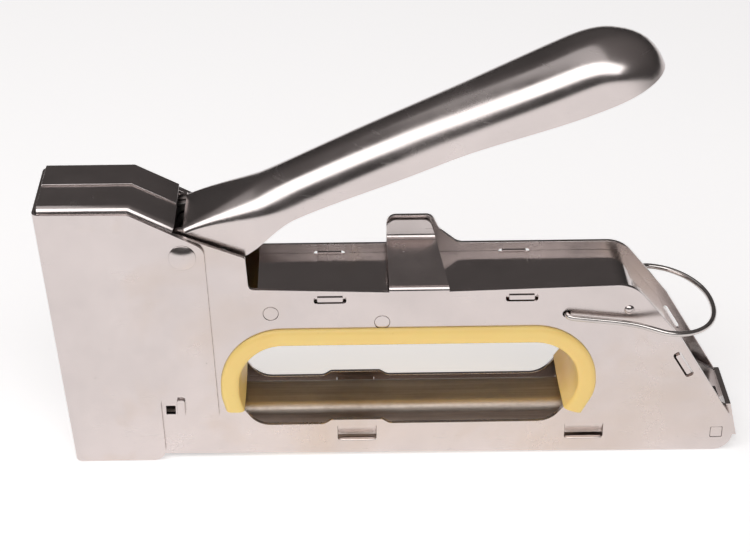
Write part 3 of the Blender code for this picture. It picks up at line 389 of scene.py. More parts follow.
def new_piece(name, bm, mat):
    """Turn a bmesh into a linked object with one material."""
    mesh = bpy.data.meshes.new(name)
    bm.to_mesh(mesh)
    bm.free()
    return linked(name, mesh, mat)


def shade(obj, angle):
    """Shade an object smooth, but for the edges sharper than an angle in degrees."""
    obj.data.shade_smooth()
    obj.data.set_sharp_from_angle(angle=math.radians(angle))
    return obj


def thicken(obj, thickness):
    """Give a folded sheet its thickness, behind its faces."""
    solid = obj.modifiers.new("sheet", "SOLIDIFY")
    solid.thickness = thickness * MM
    solid.offset = -1
    solid.use_even_offset = True


def combine(obj, tool, operation):
    """Cut a tool from an object, or weld it on, and remove the tool."""
    modifier = obj.modifiers.new(operation.lower(), "BOOLEAN")
    modifier.operation = operation
    modifier.solver = "EXACT"
    modifier.object = tool
    settle(obj)
    bpy.data.objects.remove(tool, do_unlink=True)


def settle(obj):
    """Replace an object's mesh by the result of its modifiers."""
    graph = bpy.context.evaluated_depsgraph_get()
    mesh = bpy.data.meshes.new_from_object(obj.evaluated_get(graph), preserve_all_data_layers=True,
                                           depsgraph=graph)
    obj.modifiers.clear()
    obj.data = mesh


def round_edges(obj, width, segments=2, angle=40.0):
    """Take the sharpness off an object's edges, and shade it smooth between them."""
    settle(obj)
    bm = bmesh.new()
    bm.from_mesh(obj.data)
    bmesh.ops.remove_doubles(bm, verts=bm.verts, dist=2e-6)
    bmesh.ops.dissolve_limit(bm, angle_limit=math.radians(0.5), verts=bm.verts, edges=bm.edges)
    bm.to_mesh(obj.data)
    bm.free()
    bevel = obj.modifiers.new("edge", "BEVEL")
    bevel.width = width
    bevel.segments = segments
    bevel.limit_method = "ANGLE"
    bevel.angle_limit = math.radians(angle)
    bevel.use_clamp_overlap = True
    bevel.harden_normals = False
    settle(obj)
    obj.data.shade_smooth()
    weighted = obj.modifiers.new("shading", "WEIGHTED_NORMAL")
    weighted.weight = 90
    weighted.keep_sharp = True
    settle(obj)


def slab_tool(name, outlines, y_low, y_high, mat):
    """A cutting or welding tool made of several separate slabs of the same depth."""
    bm = bmesh.new()
    for outline in outlines:
        add_slab(bm, outline, y_low, y_high)
    return new_piece(name, bm, mat)


def turned(name, place, profile, mat, sides=48):
    """A pin along Y, from a profile of (radius, y) steps that ends on its axis."""
    bm = bmesh.new()
    add_loft(bm, [[(x, y, z) for x, z in circle(*place, radius, sides)] for radius, y in profile])
    return shade(new_piece(name, bm, mat), 50)


def placed(obj, body, slot, *nodes):
    """Say which body a piece moves with and what it stands for; the finish slot is not used."""
    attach(obj, body)
    if nodes:
        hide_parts(*nodes)
    return obj


def pressed(obj, *nodes):
    """A plated piece of the housing."""
    return placed(obj, "housing", "plated_steel", *nodes)


# ---- Finishes
class Nodes:
    """Short way to add and join the nodes of a material or a world."""

    def __init__(self, owner, shader="Principled BSDF", coordinates="Object"):
        owner.use_nodes = True
        self.owner = owner
        self.tree = owner.node_tree
        self.shader = self.tree.nodes[shader]
        self.place = self.add("ShaderNodeTexCoord").outputs[coordinates]

    def add(self, kind, **settings):
        node = self.tree.nodes.new(kind)
        for key, value in settings.items():
            setattr(node, key, value)
        return node

    def join(self, source, target):
        """Lead one node's output to another one's input."""
        self.tree.links.new(source, target)

    def stretched(self, scale):
        mapping = self.add("ShaderNodeMapping")
        mapping.inputs["Scale"].default_value = scale
        self.join(self.place, mapping.inputs["Vector"])
        return mapping.outputs["Vector"]

    def noise(self, scale, detail=3.0, roughness=0.55, stretch=None, distortion=0.0):
        node = self.add("ShaderNodeTexNoise")
        node.inputs["Scale"].default_value = scale
        node.inputs["Detail"].default_value = detail
        node.inputs["Roughness"].default_value = roughness
        node.inputs["Distortion"].default_value = distortion
        self.join(self.stretched(stretch) if stretch else self.place, node.inputs["Vector"])
        return node.outputs["Fac"]

    def ramp(self, source, *stops):
        """Values along a source: stops are (position, grey or colour)."""
        node = self.add("ShaderNodeValToRGB")
        ramp = node.color_ramp
        for i, (position, value) in enumerate(stops):
            element = ramp.elements[i] if i < 2 else ramp.elements.new(position)
            element.position = position
            colour = value if hasattr(value, "__len__") else (value, value, value)
            element.color = (*colour[:3], 1.0)
        self.join(source, node.inputs["Fac"])
        return node.outputs["Color"]

    def mix(self, share, under, over):
        """One colour over another by a share."""
        node = self.add("ShaderNodeMix", data_type="RGBA")
        for value, socket in ((share, "Factor"), (under, "A"), (over, "B")):
            self.feed(value, node.inputs[socket])
        return node.outputs["Result"]

    def feed(self, value, socket):
        """Give a socket another node's output, a colour or a number."""
        if isinstance(value, bpy.types.NodeSocket):
            self.join(value, socket)
        elif hasattr(value, "__len__"):
            socket.default_value = (*value[:3], 1.0)
        else:
            socket.default_value = value

    def set(self, name, value):
        """Give one of the shader's sockets a constant or another node's output."""
        self.feed(value, self.shader.inputs[name])

    def math(self, operation, *values):
        node = self.add("ShaderNodeMath", operation=operation)
        for value, socket in zip(values, node.inputs):
            self.feed(value, socket)
        return node.outputs["Value"]

    def bump(self, height, distance, strength=1.0, under=None):
        """Surface relief, on top of another relief if there is one."""
        node = self.add("ShaderNodeBump")
        node.inputs["Distance"].default_value = distance
        node.inputs["Strength"].default_value = strength
        self.join(height, node.inputs["Height"])
        if under:
            self.join(under, node.inputs["Normal"])
        return node.outputs["Normal"]


def finish_colours():
    """Colours that are set in the panel."""
    return bpy.context.scene.staple_gun_finish


def metal(name):
    """The nodes of a new metal."""
    nodes = Nodes(bpy.data.materials.new(name))
    nodes.set("Metallic", 1.0)
    return nodes


def scaled(rgb, share):
    """A colour at a share of its brightness."""
    return [value * share for value in rgb]


def nickel_plate(name, base_rough, stain_share, ripple):
    """Bright nickel on pressed steel: cloudy gloss, brownish stains, pits and hairline scratches."""
    colours = finish_colours()
    nodes = metal(name)
    cloud = nodes.noise(55.0, 5.0, 0.62)
    blotch = nodes.noise(22.0, 4.0, 0.6, distortion=0.6)
    stain = nodes.ramp(blotch, (0.52, 0.0), (0.74, stain_share))
    base = nodes.mix(nodes.ramp(cloud, (0.3, 0.0), (0.7, 1.0)),
                     scaled(colours.nickel, 0.88), colours.nickel)
    base = nodes.mix(stain, base, colours.stain)
    pits = nodes.noise(1500.0, 2.0, 0.5)
    specks = nodes.ramp(pits, (0.20, 1.0), (0.27, 0.0))
    base = nodes.mix(nodes.math("MULTIPLY", specks, 0.55), base, scaled(colours.stain, 0.4))
    nodes.set("Base Color", base)
    scratch = nodes.noise(60.0, 2.0, 0.5, stretch=(2.0, 1.0, 38.0))
    scratches = nodes.ramp(scratch, (0.70, 0.0), (0.74, 1.0))
    grain = nodes.noise(320.0, 3.0, 0.5)
    rough = nodes.math("ADD", nodes.ramp(cloud, (0.25, base_rough * 0.75), (0.75, base_rough * 1.5)),
                       nodes.math("MULTIPLY", nodes.math("ADD", stain, scratches), 0.08))
    nodes.set("Roughness", rough)
    wave = nodes.bump(nodes.noise(28.0, 1.0, 0.4), ripple * MM)
    fine = nodes.bump(grain, 0.006 * MM, 0.6, wave)
    deep = nodes.bump(nodes.math("MULTIPLY", specks, -1.0), 0.006 * MM, 0.4, fine)
    nodes.set("Normal", deep)
    return nodes.owner


def hardened_steel(name):
    """Ground and hardened steel: straight grinding lines with a dark oiled tint."""
    colours = finish_colours()
    nodes = metal(name)
    lines = nodes.noise(90.0, 4.0, 0.7, stretch=(1.0, 14.0, 14.0))
    tint = nodes.noise(40.0, 3.0)
    base = nodes.mix(nodes.ramp(tint, (0.35, 0.0), (0.7, 1.0)), scaled(colours.hardened, 0.75),
                     colours.hardened)
    nodes.set("Base Color", base)
    nodes.set("Roughness", nodes.ramp(lines, (0.3, 0.26), (0.7, 0.46)))
    nodes.set("Normal", nodes.bump(lines, 0.02 * MM))
    return nodes.owner


def magazine_steel(name):
    """Rolled magazine sheet: duller and browner than the plating, with long drawing lines."""
    nodes = metal(name)
    lines = nodes.noise(70.0, 5.0, 0.7, stretch=(0.25, 8.0, 8.0))
    tone = nodes.noise(45.0, 4.0, 0.6)
    base = nodes.mix(nodes.ramp(lines, (0.3, 0.0), (0.7, 1.0)), (0.35, 0.29, 0.25), (0.60, 0.53, 0.48))
    base = nodes.mix(nodes.ramp(tone, (0.45, 0.0), (0.8, 0.5)), base, (0.24, 0.19, 0.15))
    nodes.set("Base Color", base)
    grain = nodes.noise(600.0, 3.0, 0.6)
    nodes.set("Roughness", nodes.ramp(grain, (0.3, 0.42), (0.7, 0.56)))
    drawn = nodes.bump(lines, 0.02 * MM)
    nodes.set("Normal", nodes.bump(grain, 0.02 * MM, 0.6, drawn))
    return nodes.owner


def spring_wire(name):
    """Drawn and plated spring wire."""
    nodes = metal(name)
    tone = nodes.noise(120.0, 3.0)
    nodes.set("Base Color", nodes.ramp(tone, (0.3, (0.50, 0.47, 0.45)), (0.7, (0.68, 0.63, 0.61))))
    nodes.set("Roughness", nodes.ramp(nodes.noise(400.0, 2.0), (0.3, 0.12), (0.7, 0.24)))
    nodes.set("Normal", nodes.bump(nodes.noise(500.0, 2.0), 0.008 * MM))
    return nodes.owner


def moulded_yellow(name):
    """Injection moulded liner: even colour, faint flow marks, fine satin grain and light dirt."""
    colours = finish_colours()
    nodes = Nodes(bpy.data.materials.new(name))
    flow = nodes.noise(30.0, 3.0, 0.5, distortion=0.8)
    base = nodes.mix(nodes.ramp(flow, (0.3, 0.0), (0.75, 1.0)), colours.liner_yellow,
                     [min(1.0, c * 1.06 + 0.01) for c in colours.liner_yellow])
    dirt = nodes.ramp(nodes.noise(210.0, 4.0, 0.65), (0.66, 0.0), (0.80, 0.35))
    base = nodes.mix(dirt, base, (0.62, 0.33, 0.10))
    nodes.set("Base Color", base)
    nodes.set("IOR", 1.5)
    nodes.set("Subsurface Weight", 0.12)
    nodes.shader.inputs["Subsurface Radius"].default_value = (0.002, 0.001, 0.0004)
    nodes.set("Subsurface Scale", 0.6)
    nodes.set("Roughness", nodes.ramp(nodes.noise(260.0, 3.0), (0.3, 0.30), (0.7, 0.44)))
    nodes.set("Normal", nodes.bump(nodes.noise(900.0, 3.0), 0.012 * MM))
    return nodes.owner


def black_rubber(name):
    """Pressed rubber, matte with a dusty bloom."""
    nodes = Nodes(bpy.data.materials.new(name))
    bloom = nodes.noise(180.0, 5.0, 0.7)
    nodes.set("Base Color", nodes.ramp(bloom, (0.4, (0.018, 0.018, 0.018)), (0.75, (0.05, 0.048, 0.046))))
    nodes.set("Roughness", nodes.ramp(bloom, (0.3, 0.7), (0.7, 0.9)))
    nodes.set("Normal", nodes.bump(nodes.noise(700.0, 3.0), 0.03 * MM))
    return nodes.owner


def pale_floor(name):
    """Plain paper-like floor."""
    nodes = Nodes(bpy.data.materials.new(name))
    tone = nodes.noise(3.0, 2.0)
    white = finish_colours().floor
    nodes.set("Base Color", nodes.mix(tone, scaled(white, 0.985), white))
    nodes.set("Roughness", 0.85)
    nodes.set("Specular IOR Level", 0.2)
    nodes.set("Emission Color", (1.0, 0.99, 0.99, 1.0))
    nodes.set("Emission Strength", 0.52)
    return nodes.owner


PLATING = {  # roughness, share of stain and depth of the ripples in millimetres
    "plate_nickel": (0.20, 0.55, 0.02),
    "cover_nickel": (0.20, 0.70, 0.02),
    "strip_nickel": (0.11, 0.35, 0.06),
    "handle_nickel": (0.20, 0.20, 0.02),
}
MAKERS = {maker.__name__: maker for maker in (hardened_steel, magazine_steel, spring_wire,
                                              moulded_yellow, black_rubber, pale_floor)}
MATERIALS = {}


def finish(name):
    """A finish by its name, made the first time that it is asked for."""
    if name not in MATERIALS:
        plating = PLATING.get(name)
        MATERIALS[name] = nickel_plate(name, *plating) if plating else MAKERS[name](name)
    return MATERIALS[name]


# ---- Outlines that several pieces share
def flange_top(side):
    """Height of the nose flange of a side plate."""
    return NOSE_HEIGHT + (FLANGE_STEP if side > 0 else 0.0)


def slanted_edge(x, side):
    """Height of the plate's slanted upper edge behind the nose corner."""
    return flange_top(side) - NOSE_SLOPE * (x - NOSE_CORNER_X)


def plate_outline(side):
    """Outer edge of a side plate, from the nose foot round the rear and back over the nose."""
    top = flange_top(side)
    upper_rear = GRIP_START_X - GRIP_START_SET
    corners = [(PLATE_FRONT + lean(BASE_FRONT_Z), BASE_FRONT_Z, 0),
               (REAR_X, 0.0, 5.0), *reversed(REAR_CORNERS)]
    if side > 0:
        corners += [*HUMP_REAR_CURVE, (HUMP_FRONT_X, HUMP_TOP_Z, HUMP_CORNER),
                    (HUMP_FRONT_X, GRIP_TOP_Z, 0)]
    else:
        corners += [(HUMP_REAR_X, GRIP_TOP_Z, 0), (HUMP_FRONT_X, GRIP_TOP_Z, 0)]
    corners += [(GRIP_START_X, GRIP_TOP_Z, 1.5),
                (upper_rear, slanted_edge(upper_rear, side), 1.0),
                (FLANGE_END_X, slanted_edge(FLANGE_END_X, side), 0),
                (NOSE_CORNER_X, top, 0), (PLATE_FRONT + lean(top), top, 0)]
    return rounded(corners)


def liner_rear_end(offset):
    """Height of the rear leg's cut end, at an offset from the arch's clear edge."""
    return LINER_REAR_END_Z + LINER_END_SLANT * (1 - offset / LINER_BAND)


def liner_path(offset, drop=0.0, steps=None):
    """Line of the arch over the finger opening, at an offset from its clear edge."""
    top = WINDOW_TOP_Z + offset
    front = WINDOW_FRONT_X - offset
    rear = WINDOW_REAR_X + offset
    radius = WINDOW_RADIUS + offset
    return rounded([(front + LINER_FRONT_HOOK, LINER_FRONT_END_Z - drop, 0),
                    (front, LINER_BEND_Z, LINER_BEND), (front, top, radius),
                    (rear, top, radius), (rear, LINER_BEND_Z, LINER_BEND),
                    (rear - LINER_REAR_HOOK, liner_rear_end(offset) - drop, 0)], steps)


def window_outline():
    """The plates' finger opening: seated round the liner's wall, bare along the bottom."""
    arch = liner_path(LINER_WALL + HAIRLINE, HAIRLINE)
    pocket_x = LOUVRES[0][0]
    reach = LOUVRE_WIDTH / 2 + POCKET_SIDE
    foot = reach + POCKET_SLOPE
    sill = rounded([(arch[-1][0], arch[-1][1], 0),
                    (WINDOW_REAR_X - LINER_REAR_HOOK, liner_rear_end(0.0) - HAIRLINE, 0),
                    (WINDOW_REAR_X - LINER_REAR_HOOK - SILL_SLANT, WINDOW_BOTTOM_Z, SILL_RADIUS),
                    (pocket_x + foot, WINDOW_BOTTOM_Z, 2.5),
                    (pocket_x + reach, WINDOW_BOTTOM_Z + SILL_RISE, 1.5),
                    (pocket_x - reach, WINDOW_BOTTOM_Z + SILL_RISE, 1.5),
                    (pocket_x - foot, WINDOW_BOTTOM_Z, 2.5),
                    (WINDOW_FRONT_X + LINER_FRONT_HOOK + SILL_SLANT, WINDOW_BOTTOM_Z, SILL_RADIUS),
                    (WINDOW_FRONT_X + LINER_FRONT_HOOK, LINER_FRONT_END_Z - HAIRLINE, 0),
                    (arch[0][0], arch[0][1], 0)])
    return arch + sill[1:-1]


def inset_line(depth):
    """Corners of the grip's top and rear edge, moved inwards from the plates' edge."""
    corners = [Vector((GRIP_START_X + STRIP_SET, GRIP_TOP_Z))] + [Vector(c[:2]) for c in REAR_CORNERS]
    corners[-1] = corners[-2].lerp(corners[-1], STRIP_REAR_SHARE)
    runs = [(after - here).normalized() for here, after in zip(corners, corners[1:])]
    inwards = [Vector((run.y, -run.x)) for run in runs]
    moved = [corners[0] + inwards[0] * depth]
    for here, first, second in zip(corners[1:], inwards, inwards[1:]):
        moved.append(here + (first + second) * (depth / (1 + first.dot(second))))
    moved.append(corners[-1] + inwards[-1] * depth)
    radii = [0.0] + [c[2] - depth for c in REAR_CORNERS[:-1]] + [0.0]
    return [(point.x, point.y, radius) for point, radius in zip(moved, radii)]


def strip_tab_outline(run, distance, end_room=0.0, side_room=0.0, corner=0.25):
    """A tab's rectangle in the middle of the strip's thickness, with room round it for its slot."""
    line = [Vector(place[:2]) for place in inset_line(STRIP_RECESS + SHEET / 2)]
    forward = (line[run + 1] - line[run]).normalized()
    middle = line[run] + forward * distance
    along = forward * (TAB_LENGTH / 2 + end_room)
    across = Vector((-forward.y, forward.x)) * (TAB_HEIGHT / 2 + side_room)
    corners = (middle - along - across, middle + along - across,
               middle + along + across, middle - along + across)
    return rounded([(c.x, c.y, corner) for c in corners], 4)


def middle(node):
    """Middle of a frame node, as X and Z."""
    box_low, box_high = span(node)
    return (box_low.x + box_high.x) / 2, (box_low.z + box_high.z) / 2


# ---- Side plates
def add_flange(bm, side):
    """Nose flange: level over the spring, then slanting down towards the pivot."""
    y = side * HALF
    seam = side * HAIRLINE / 2
    top = flange_top(side)
    front_x = PLATE_FRONT + lean(top)
    end_z = slanted_edge(FLANGE_END_X, side)
    add_panel(bm, [(front_x, y, top), (NOSE_CORNER_X, y, top),
                   (NOSE_CORNER_X, seam, top), (front_x, seam, top)])
    add_panel(bm, [(NOSE_CORNER_X, y, top), (FLANGE_END_X, y, end_z),
                   (FLANGE_END_X, seam, end_z), (NOSE_CORNER_X, seam, top)])


def add_bridge(bm, y):
    """Tab that slants from the left plate over the grip strip to an upright at the right one."""
    top_y = INNER - GAP - SHEET
    upright_y = top_y - UPRIGHT_LEAN
    fold_x = HUMP_REAR_X - HUMP_NARROWING
    upright_top = HUMP_TOP_Z - UPRIGHT_STEP
    add_panel(bm, [(HUMP_FRONT_X, y, GRIP_TOP_Z), (HUMP_REAR_X, y, GRIP_TOP_Z),
                   (fold_x, upright_y, HUMP_FOLD_Z), (HUMP_FRONT_X, upright_y, HUMP_FOLD_Z)])
    upright = rounded([(HUMP_FRONT_X, HUMP_FOLD_Z, 0), (fold_x, HUMP_FOLD_Z, 0),
                       (fold_x - UPRIGHT_NARROWING, upright_top, HUMP_CORNER),
                       (HUMP_FRONT_X, upright_top, HUMP_CORNER)])
    rise = upright_top - HUMP_FOLD_Z
    add_panel(bm, [(x, upright_y + UPRIGHT_LEAN * (z - HUMP_FOLD_Z) / rise, z) for x, z in upright])


def plate_holes():
    """Outlines of everything that is cut through a side plate."""
    holes = [window_outline(), circle(*PIVOT, PIN_RADIUS + GAP),
             circle(*BAIL_PIVOT, BAIL_WIRE / 2 + GAP)]
    holes += [circle(*middle(node), SPACER_END + GAP) for node in ("front_spacer_pin", "rear_spacer_pin")]
    holes += [strip_tab_outline(run, distance, SLOT_END_ROOM, SLOT_SIDE_ROOM, 0.8)
              for run, distance in STRIP_TABS]
    holes += [soft_box(x - LOUVRE_WIDTH / 2, x + LOUVRE_WIDTH / 2, z, z + LOUVRE_HEIGHT, 0.5)
              for x, z in LOUVRES]
    tenon_low, tenon_high = span("left_rear_tenon")
    holes.append(soft_box(tenon_low.x - GAP, tenon_high.x + GAP, tenon_low.z - GAP,
                          tenon_high.z + GAP, GAP))
    holes.append(box_outline(*CATCH_HOLE_X, *CATCH_HOLE_Z))
    return holes


def add_louvre(bm, x, z, side):
    """A tongue that curves inwards from the top of its opening, and the rolled lip below it."""
    face = side * (HALF - LOUVRE_SET)
    half = LOUVRE_WIDTH / 2 - LOUVRE_SIDE_GAP
    top = z + LOUVRE_HEIGHT + LOUVRE_ROOT
    tip = z + LOUVRE_LIP
    rows = []
    steps = 12
    for step in range(steps + 1):
        share = step / steps
        outer = face - side * LOUVRE_DEPTH * share * share * (3 - 2 * share)
        height = top + (tip - top) * share
        inner = outer - side * (SHEET - 0.1)
        rows.append([(x - half, outer, height), (x + half, outer, height),
                     (x + half, inner, height), (x - half, inner, height)])
    add_loft(bm, rows)
    reach = half + LIP_REACH
    lip = []
    for step in range(15):
        share = -1 + 2 * step / 14
        round_end = max(0.15, (1 - share ** 6)) ** 0.5
        lip.append([(x + reach * share,
                     side * (HALF - LIP_BACK + (LIP_OUT if math.cos(turn) > 0 else LIP_TURN_IN)
                             * math.cos(turn) * round_end),
                     z - LIP_DROP + LIP_HALF * math.sin(turn) * round_end) for turn in turns(16)])
    add_loft(bm, lip)


def add_ball(bm, place, side):
    """Ball dimple that holds the lock wire down."""
    rings = []
    steps = 8
    for step in range(steps + 1):
        turn = math.pi / 2 * (1 - step / steps)
        radius = max(DIMPLE_RADIUS * math.sin(turn), 0.02)
        y = side * (HALF - 0.3 + (DIMPLE_HEIGHT + 0.3) * math.cos(turn))
        rings.append([(px, y, pz) for px, pz in circle(*place, radius, 24)])
    add_loft(bm, rings)


def side_plate(name, side):
    """Pressed side plate with its nose flange; the left one also folds into the grip bridge."""
    mat = finish("plate_nickel")
    y = side * HALF
    bm = bmesh.new()
    add_panel(bm, [(x, y, z) for x, z in plate_outline(side)])
    add_flange(bm, side)
    if side < 0:
        add_bridge(bm, y)
    bmesh.ops.remove_doubles(bm, verts=bm.verts, dist=WELD)
    turn_out(bm, lambda faces: max(faces, key=lambda face: face.calc_area()), (0, side, 0))
    flange_end_z = slanted_edge(FLANGE_END_X, side)
    bend_edges(bm, [lambda co: abs(co.y - y) < TINY and co.z > flange_end_z - TINY
                    and co.x < FLANGE_END_X + TINY], FLANGE_BEND)
    if side < 0:
        bend_edges(bm, [lambda co: abs(co.y - y) < TINY and abs(co.z - GRIP_TOP_Z) < TINY
                        and HUMP_FRONT_X - TINY < co.x < HUMP_REAR_X + TINY,
                        lambda co: abs(co.z - HUMP_FOLD_Z) < TINY], HUMP_BEND)
    plate = new_piece(name, bm, mat)
    thicken(plate, SHEET)
    near, far = sorted((side * (HALF + SHEET), side * (INNER - SHEET)))
    combine(plate, slab_tool(name + "_holes", plate_holes(), near, far, mat), "DIFFERENCE")
    round_edges(plate, shape().edge_round)

    bm = bmesh.new()
    for x, z in LOUVRES:
        add_louvre(bm, x, z, side)
    add_ball(bm, DIMPLE, side)
    details = shade(new_piece(name + "_pressings", bm, mat), 50)
    catch_low, catch_high = sorted((side * (INNER + 0.4), side * (HALF + COVER_SHEET + GAP)))
    lug = slab_tool(name + "_catch_lug", [soft_box(*CATCH_LUG_X, *CATCH_LUG_Z, 0.4)],
                    catch_low, catch_high, mat)
    round_edges(lug, shape().soft_edge, 3)
    pressed(plate, name)
    pressed(details)
    pressed(lug)
    return plate


class STAPLE_GUN_OT_side_plates(bpy.types.Operator):
    """Build the two pressed side plates with their pockets, lugs, flanges and bridge"""
    bl_idname = "staple_gun.side_plates"
    bl_label = "Side Plates"

    def execute(self, context):
        side_plate("left_side_plate", -1).name = "left_plate_pressed"
        side_plate("right_side_plate", 1).name = "right_plate_pressed"
        return {"FINISHED"}


# ---- Nose cover
class STAPLE_GUN_OT_nose_cover(bpy.types.Operator):
    """Build the thin sheet that wraps the nose"""
    bl_idname = "staple_gun.nose_cover"
    bl_label = "Nose Cover"

    def execute(self, context):
        top_x = NOSE_FRONT + lean(COVER_HEIGHT)
        outline = rounded([(NOSE_FRONT, 0.0, 0), *COVER_EDGE,
                           (NOSE_CORNER_X, COVER_HEIGHT - GAP, 2.0), (top_x, COVER_HEIGHT, 0)])
        bm = bmesh.new()
        for side in (-1, 1):
            add_panel(bm, [(x, side * COVER_HALF, z) for x, z in outline])
        add_panel(bm, [(NOSE_FRONT, -COVER_HALF, 0), (NOSE_FRONT, COVER_HALF, 0),
                       (top_x, COVER_HALF, COVER_HEIGHT), (top_x, -COVER_HALF, COVER_HEIGHT)])
        bmesh.ops.remove_doubles(bm, verts=bm.verts, dist=WELD)
        turn_out(bm, first, (0, -1, 0))
        bend_edges(bm, [lambda co: abs(abs(co.y) - COVER_HALF) < TINY
                        and abs(co.x - NOSE_FRONT - lean(co.z)) < TINY], FLANGE_BEND, 8)
        mat = finish("cover_nickel")
        cover = new_piece("nose_cover_sheet", bm, mat)
        thicken(cover, COVER_SHEET)
        reach = COVER_HALF + SHEET
        combine(cover, slab_tool("cover_hole", [circle(*PIVOT, PIN_RADIUS + GAP)], -reach, reach, mat),
                "DIFFERENCE")
        round_edges(cover, shape().edge_round)
        pressed(cover, "front_cover")
        return {"FINISHED"}


# ---- Grip strip
class STAPLE_GUN_OT_grip_strip(bpy.types.Operator):
    """Build the strip between the plates along the grip and down the rear, with its tabs"""
    bl_idname = "staple_gun.grip_strip"
    bl_label = "Grip Strip"

    def execute(self, context):
        width = INNER - HAIRLINE
        outer = rounded(inset_line(STRIP_RECESS), 16)
        mat = finish("strip_nickel")
        bm = bmesh.new()
        add_loft(bm, [[(x, -width, z), (x, width, z)] for x, z in outer], closed=False, caps=False)
        turn_out(bm, first, (0, 0, 1))
        strip = new_piece("grip_strip_sheet", bm, mat)
        thicken(strip, SHEET)
        tabs = slab_tool("strip_tabs", [strip_tab_outline(run, distance)
                                        for run, distance in STRIP_TABS], -HALF, HALF, mat)
        combine(strip, tabs, "UNION")
        round_edges(strip, shape().edge_round)
        pressed(strip, "grip_strip")
        return {"FINISHED"}


# ---- Finger liner
class STAPLE_GUN_OT_grip_liner(bpy.types.Operator):
    """Build the moulded arch that lines the finger opening"""
    bl_idname = "staple_gun.grip_liner"
    bl_label = "Finger Liner"

    def execute(self, context):
        seat = HALF + HAIRLINE
        rim = HALF + GAP + LINER_RIM
        wide, deep = LINER_ROUND
        arc = [(1 - math.cos(math.pi / 2 * k / 7), 1 - math.sin(math.pi / 2 * k / 7)) for k in range(8)]
        near = [(wide * a, rim - deep * b) for a, b in arc]
        near += [(LINER_BAND - wide * a, rim - deep * b) for a, b in reversed(arc)]
        near += [(LINER_BAND, seat), (LINER_WALL, seat)]
        crown = [(LINER_CROWN * (1 - share * share), HALF * share) for share in (0.8, 0.4, 0.0)]
        side = near[::-1] + crown[:-1]
        section = [(o, -y) for o, y in side] + [crown[-1]] + [(o, y) for o, y in reversed(side)]
        lines = [[(x, y, z) for x, z in liner_path(offset, steps=18)] for offset, y in section]
        bm = bmesh.new()
        add_loft(bm, list(zip(*lines)))
        liner = new_piece("finger_liner", bm, finish("moulded_yellow"))
        round_edges(liner, 0.25 * MM, 2, 55.0)
        placed(liner, "housing", "yellow_plastic", "grip_liner")
        return {"FINISHED"}


# ---- Handle
def along_handle(s, t, y):
    """Point at s along the handle from its pivot and t above that line."""
    return (PIVOT[0] + s * math.cos(HANDLE_SLOPE) - t * math.sin(HANDLE_SLOPE), y,
            PIVOT[1] + s * math.sin(HANDLE_SLOPE) + t * math.cos(HANDLE_SLOPE))


def smooth_table(table, s):
    """Value at s of a smooth line through a few (s, value) knots."""
    for (s0, v0), (s1, v1) in zip(table, table[1:]):
        if s <= s1:
            share = (s - s0) / (s1 - s0)
            return v0 + (v1 - v0) * (3 * share ** 2 - 2 * share ** 3)
    return table[-1][1]


def close_down(s, length, power):
    """Share of full size left at s, where the tip closes over its last length."""
    share = max(0.0, (s - HANDLE_LENGTH + length) / length)
    return (1 - share ** power) ** (1 / power)


def handle_section(s, arc_steps):
    """Section of the handle at s: points (y, t) from one lower edge over the crown to the other."""
    swell_from, swell_to = HANDLE_SWELL_S
    waist = HANDLE_HALF_FRONT - HANDLE_WAIST * math.sin(math.pi * min(1.0, s / swell_from))
    half = waist + smooth_table(((swell_from, 0.0), (swell_to, HANDLE_SWELL)), max(s, swell_from))
    half *= close_down(s, TIP_SIDES, TIP_ROUND[1])
    bottom = smooth_table(HANDLE_LOW, s)
    top = bottom + (smooth_table(HANDLE_TOP, s) - bottom) * close_down(s, TIP_CROWN, TIP_ROUND[0])
    shoulder = min(smooth_table(HANDLE_SHOULDER, s), 0.9 * (top - bottom))
    corner = min(shoulder * 1.25, half - 0.4)
    points = [(-half, bottom + (top - shoulder - bottom) * k / 4) for k in range(4)]
    for step in range(arc_steps + 1):
        turn = math.pi / 2 * step / arc_steps
        points.append((-half + corner * (1 - math.cos(turn)), top - shoulder * (1 - math.sin(turn))))
    return points + [(-y, t) for y, t in reversed(points)]


def handle_stations():
    """Where the handle's sections stand: even along the barrel, closer together at the tip."""
    barrel_end = HANDLE_LENGTH - TIP_CROWN
    barrel = [HANDLE_FRONT + (barrel_end - HANDLE_FRONT) * k / BARREL_SECTIONS
              for k in range(BARREL_SECTIONS)]
    tip = [HANDLE_LENGTH - TIP_CROWN * math.cos(math.pi / 2 * k / TIP_SECTIONS) ** 1.4
           for k in range(TIP_SECTIONS)]
    return barrel + tip + [HANDLE_LENGTH - HANDLE_CAP]


def add_lobe(bm, row, side):
    """Round lobe of a cheek about the pivot, ahead of the web's first section."""
    edge = row[:5] if side < 0 else row[-5:][::-1]
    y = edge[0].co.y / MM
    top_t = smooth_table(HANDLE_TOP, HANDLE_FRONT) - smooth_table(HANDLE_SHOULDER, HANDLE_FRONT)
    start = math.atan2(top_t, HANDLE_FRONT)
    end = math.atan2(HANDLE_LOW[0][1], HANDLE_FRONT) + 2 * math.pi
    steps = 28
    lobe = []
    for step in range(1, steps):
        turn = start + (end - start) * step / steps
        lobe.append(bm.verts.new(Vector(along_handle(LOBE_RADIUS * math.cos(turn),
                                                     LOBE_RADIUS * math.sin(turn), y)) * MM))
    bm.faces.new([*edge, *lobe])


